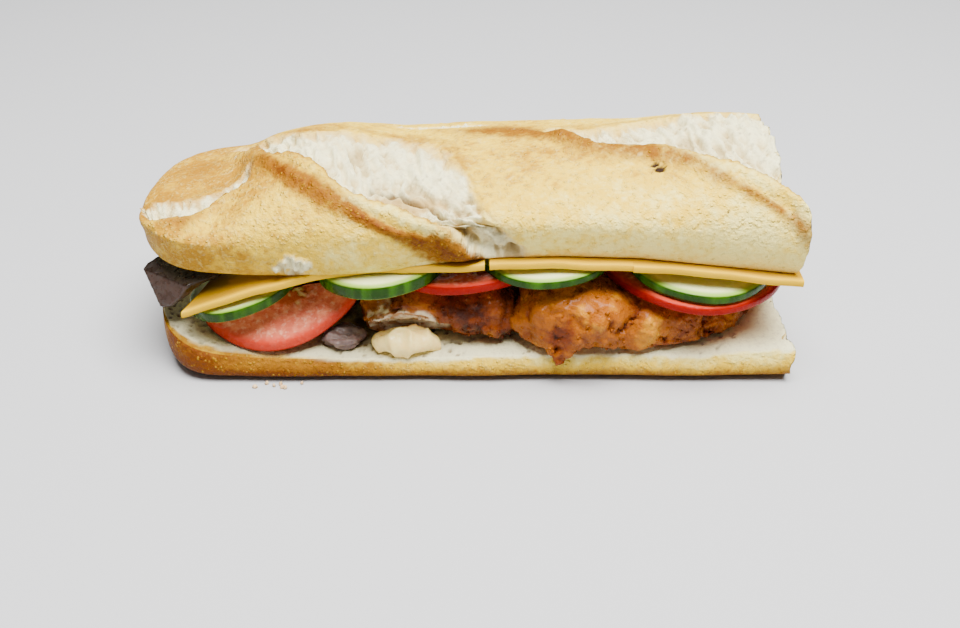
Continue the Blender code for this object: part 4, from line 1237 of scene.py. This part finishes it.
def scatter_tree(finish):
    """Geometry nodes that put small lumps of random size and turn all over a surface."""
    tree = bpy.data.node_groups.new("Scatter lumps", "GeometryNodeTree")
    tree.interface.new_socket("Geometry", in_out="INPUT", socket_type="NodeSocketGeometry")
    for name, value in {"Density": 1000.0, "Smallest": 0.5, "Largest": 1.0, "Seed": 1}.items():
        kind = "NodeSocketInt" if name == "Seed" else "NodeSocketFloat"
        tree.interface.new_socket(name, in_out="INPUT", socket_type=kind).default_value = value
    tree.interface.new_socket("Geometry", in_out="OUTPUT", socket_type="NodeSocketGeometry")
    g = Graph(tree)
    given = g.node("NodeGroupInput").outputs
    spread = g.node("GeometryNodeDistributePointsOnFaces",
                    {"Mesh": given["Geometry"], "Density": given["Density"], "Seed": given["Seed"]})
    lump = g.node("GeometryNodeMeshIcoSphere", {"Radius": 0.5 * MM, "Subdivisions": 2})
    shake = g.node("ShaderNodeTexNoise", {"Scale": 2600.0, "Detail": 1.0}).outputs[1]
    shake = g.node("ShaderNodeVectorMath", {0: shake, 1: (-0.5, -0.5, -0.5)}, operation="ADD").outputs[0]
    shake = g.node("ShaderNodeVectorMath", {0: shake, 1: (MM, MM, MM)}, operation="MULTIPLY").outputs[0]
    lump = g.node("GeometryNodeSetPosition", {"Geometry": lump.outputs["Mesh"], "Offset": shake})
    turn = g.node("FunctionNodeRandomValue", {0: (0.0, 0.0, 0.0), 1: (6.28, 6.28, 6.28), "Seed": given["Seed"]},
                  data_type="FLOAT_VECTOR").outputs[0]
    size = g.node("FunctionNodeRandomValue", {2: given["Smallest"], 3: given["Largest"], "Seed": given["Seed"]},
                  data_type="FLOAT").outputs[1]
    placed = g.node("GeometryNodeInstanceOnPoints", {"Points": spread.outputs["Points"],
                                                     "Instance": lump.outputs["Geometry"], "Rotation": turn,
                                                     "Scale": size})
    real = g.node("GeometryNodeRealizeInstances", {"Geometry": placed.outputs["Instances"]})
    dressed = g.node("GeometryNodeSetMaterial", {"Geometry": real.outputs["Geometry"], "Material": finish})
    g.feed(g.node("NodeGroupOutput").inputs["Geometry"], dressed.outputs["Geometry"])
    return tree


def scatter(name, surface, tree, settings, finish):
    """A piece of many small lumps on the surface of an object."""
    modifier = surface.modifiers.new("scatter", "NODES")
    modifier.node_group = tree
    for socket in tree.interface.items_tree:
        if socket.in_out == "INPUT" and socket.name in settings:
            modifier[socket.identifier] = settings[socket.name]
    surface.data.update()
    made = bpy.data.meshes.new_from_object(surface.evaluated_get(bpy.context.evaluated_depsgraph_get()))
    surface.modifiers.remove(modifier)
    made.name = name
    made.shade_smooth()
    return add_piece(name, made, finish)


def area_of(mesh):
    return sum(face.area for face in mesh.polygons)


def build_crumbs(look):
    """Grains that stand on the coating, and the few crumbs that fell beside the bread."""
    batter = bpy.data.materials["Fried coating"]
    tree = scatter_tree(batter)
    for number, name in enumerate(("escalope_left_fried", "escalope_right_fried")):
        surface = bpy.data.objects[name]
        density = look.grain_count / area_of(surface.data)
        settings = {"Density": density, "Smallest": 0.5, "Largest": 1.5, "Seed": number + 3}
        serve(scatter(name + "_grains", surface, tree, settings, batter), None)
    bread = plain_moist_finish("Bread crumbs", tint(236, 214, 170), tint(196, 140, 76), 2.0, 0.6, 0.8)
    strip = bpy.data.meshes.new("crumb_strip")
    strip.from_pydata(into_frame(CRUMB_STRIP).tolist(), [], [(0, 1, 2, 3)])
    ground = add_piece("crumb_strip", strip, bread)
    settings = {"Density": look.crumb_count / area_of(strip), "Smallest": 0.8, "Largest": 1.8, "Seed": 7}
    serve(scatter("fallen_crumbs", ground, scatter_tree(bread), settings, bread), None)
    bpy.data.objects.remove(ground)


# Stage.


def build_stage(look):
    material, g, shader, place = new_finish("Pale table")
    shader.inputs["Base Color"].default_value = (*look.floor, 1.0)
    uniform(shader, Roughness=0.8)
    turn = np.linspace(0, math.pi / 2, 12)
    widest = FLOOR_RADIUS + WALL_BEND
    radius = np.concatenate([[FLOOR_MIDDLE], FLOOR_RADIUS + WALL_BEND * np.sin(turn), [widest]])
    height = np.concatenate([[0.0], WALL_BEND * (1 - np.cos(turn)), [WALL_HEIGHT]])
    count = FLOOR_SIDES
    points = [(0.0, 0.0, 0.0)]
    for r, z in zip(radius, height):
        points += [(r * math.cos(a), r * math.sin(a), z) for a in np.arange(count) * 2 * math.pi / count]
    faces = [(0, 1 + k, 1 + (k + 1) % count) for k in range(count)]
    for near in range(1, 1 + (len(radius) - 1) * count, count):
        far = near + count
        faces += [(near + k, far + k, far + (k + 1) % count, near + (k + 1) % count) for k in range(count)]
    mesh = bpy.data.meshes.new("table_sweep")
    mesh.from_pydata(points, [], faces)
    mesh.shade_smooth()
    floor = add_piece("table_sweep", mesh, material)
    add_lamp("key_lamp", *KEY_LAMP, look.key_power)
    add_lamp("fill_lamp", *FILL_LAMP, look.fill_power)
    world = bpy.data.worlds.new("Room")
    world.use_nodes = True
    background = world.node_tree.nodes["Background"]
    background.inputs["Color"].default_value = (1.0, 1.0, 1.0, 1.0)
    background.inputs["Strength"].default_value = look.sky_strength
    bpy.context.scene.world = world
    add_camera()


def add_lamp(name, place, size, power):
    """A square lamp that faces the middle of the sandwich."""
    data = bpy.data.lights.new(name, "AREA")
    data.shape = "SQUARE"
    data.size = size
    data.energy = power
    lamp = bpy.data.objects.new(name, data)
    lamp.location = place
    lamp.rotation_euler = (Vector(LAMP_TARGET) - Vector(place)).to_track_quat("-Z", "Y").to_euler()
    bpy.context.scene.collection.objects.link(lamp)


def add_camera():
    data = bpy.data.cameras.new("camera")
    data.lens = CAMERA_LENS
    data.sensor_width = SENSOR_WIDTH
    data.clip_start = 0.01
    camera = bpy.data.objects.new("camera", data)
    camera.location = into_frame(CAMERA_PLACE)
    camera.rotation_euler = (math.pi / 2 - CAMERA_TILT, 0.0, 0.0)
    bpy.context.scene.collection.objects.link(camera)
    bpy.context.scene.camera = camera


class SANDWICH_OT_bread(bpy.types.Operator):
    """Bake the two halves of bread, with the slashes torn open in the upper crust"""

    bl_idname = "sandwich.bread"
    bl_label = "Bread"

    def execute(self, context):
        build_top_bread(context.scene.sandwich_bread)
        build_bottom_bread(context.scene.sandwich_bread)
        return {"FINISHED"}


class SANDWICH_OT_cheese(bpy.types.Operator):
    """Lay the three slices of cheese"""

    bl_idname = "sandwich.cheese"
    bl_label = "Cheese"

    def execute(self, context):
        build_cheese(context.scene.sandwich_filling)
        return {"FINISHED"}


class SANDWICH_OT_cucumber(bpy.types.Operator):
    """Lay the slices of cucumber"""

    bl_idname = "sandwich.cucumber"
    bl_label = "Cucumber"

    def execute(self, context):
        build_cucumbers(context.scene.sandwich_filling)
        return {"FINISHED"}


class SANDWICH_OT_tomato(bpy.types.Operator):
    """Lay the slices of tomato"""

    bl_idname = "sandwich.tomato"
    bl_label = "Tomato"

    def execute(self, context):
        build_tomatoes(context.scene.sandwich_filling)
        return {"FINISHED"}


class SANDWICH_OT_escalope(bpy.types.Operator):
    """Fry the coated chicken"""

    bl_idname = "sandwich.escalope"
    bl_label = "Escalope"

    def execute(self, context):
        build_escalope(context.scene.sandwich_filling)
        return {"FINISHED"}


class SANDWICH_OT_aubergine(bpy.types.Operator):
    """Tuck in the grilled aubergine"""

    bl_idname = "sandwich.aubergine"
    bl_label = "Aubergine"

    def execute(self, context):
        build_aubergine(context.scene.sandwich_filling)
        return {"FINISHED"}


class SANDWICH_OT_mayonnaise(bpy.types.Operator):
    """Spoon on the mayonnaise"""

    bl_idname = "sandwich.mayonnaise"
    bl_label = "Mayonnaise"

    def execute(self, context):
        build_mayonnaise(context.scene.sandwich_filling)
        return {"FINISHED"}


class SANDWICH_OT_crumbs(bpy.types.Operator):
    """Scatter the grains of the coating and the fallen crumbs"""

    bl_idname = "sandwich.crumbs"
    bl_label = "Crumbs"

    def execute(self, context):
        build_crumbs(context.scene.sandwich_filling)
        return {"FINISHED"}


class SANDWICH_OT_stage(bpy.types.Operator):
    """Set the table top, the lamps and the camera"""

    bl_idname = "sandwich.stage"
    bl_label = "Stage"

    def execute(self, context):
        build_stage(context.scene.sandwich_stage)
        return {"FINISHED"}


OPERATORS = (SANDWICH_OT_bread, SANDWICH_OT_cheese, SANDWICH_OT_cucumber, SANDWICH_OT_tomato,
             SANDWICH_OT_escalope, SANDWICH_OT_aubergine, SANDWICH_OT_mayonnaise, SANDWICH_OT_crumbs,
             SANDWICH_OT_stage)


class SANDWICH_PT_panel(bpy.types.Panel):
    """Builds the sandwich piece by piece"""

    bl_idname = "SANDWICH_PT_panel"
    bl_label = "Sandwich"
    bl_space_type = "VIEW_3D"
    bl_region_type = "UI"
    bl_category = "Sandwich"

    def draw(self, context):
        for operator in OPERATORS:
            self.layout.operator(operator.bl_idname)
        scene = context.scene
        for group in (scene.sandwich_bread, scene.sandwich_filling, scene.sandwich_stage):
            column = self.layout.column()
            for key in group.bl_rna.properties.keys():
                if key not in ("rna_type", "name"):
                    column.prop(group, key)


CLASSES = (BreadLook, FillingLook, StageLook, *OPERATORS, SANDWICH_PT_panel)


def register():
    for made in CLASSES:
        bpy.utils.register_class(made)
    bpy.types.Scene.sandwich_bread = PointerProperty(type=BreadLook)
    bpy.types.Scene.sandwich_filling = PointerProperty(type=FillingLook)
    bpy.types.Scene.sandwich_stage = PointerProperty(type=StageLook)


def unregister():
    del bpy.types.Scene.sandwich_bread
    del bpy.types.Scene.sandwich_filling
    del bpy.types.Scene.sandwich_stage
    for made in reversed(CLASSES):
        bpy.utils.unregister_class(made)


def main():
    register()
    bpy.ops.sandwich.bread()
    bpy.ops.sandwich.cheese()
    bpy.ops.sandwich.cucumber()
    bpy.ops.sandwich.tomato()
    bpy.ops.sandwich.escalope()
    bpy.ops.sandwich.aubergine()
    bpy.ops.sandwich.mayonnaise()
    bpy.ops.sandwich.crumbs()
    bpy.ops.sandwich.stage()


if __name__ == "__main__":
    main()
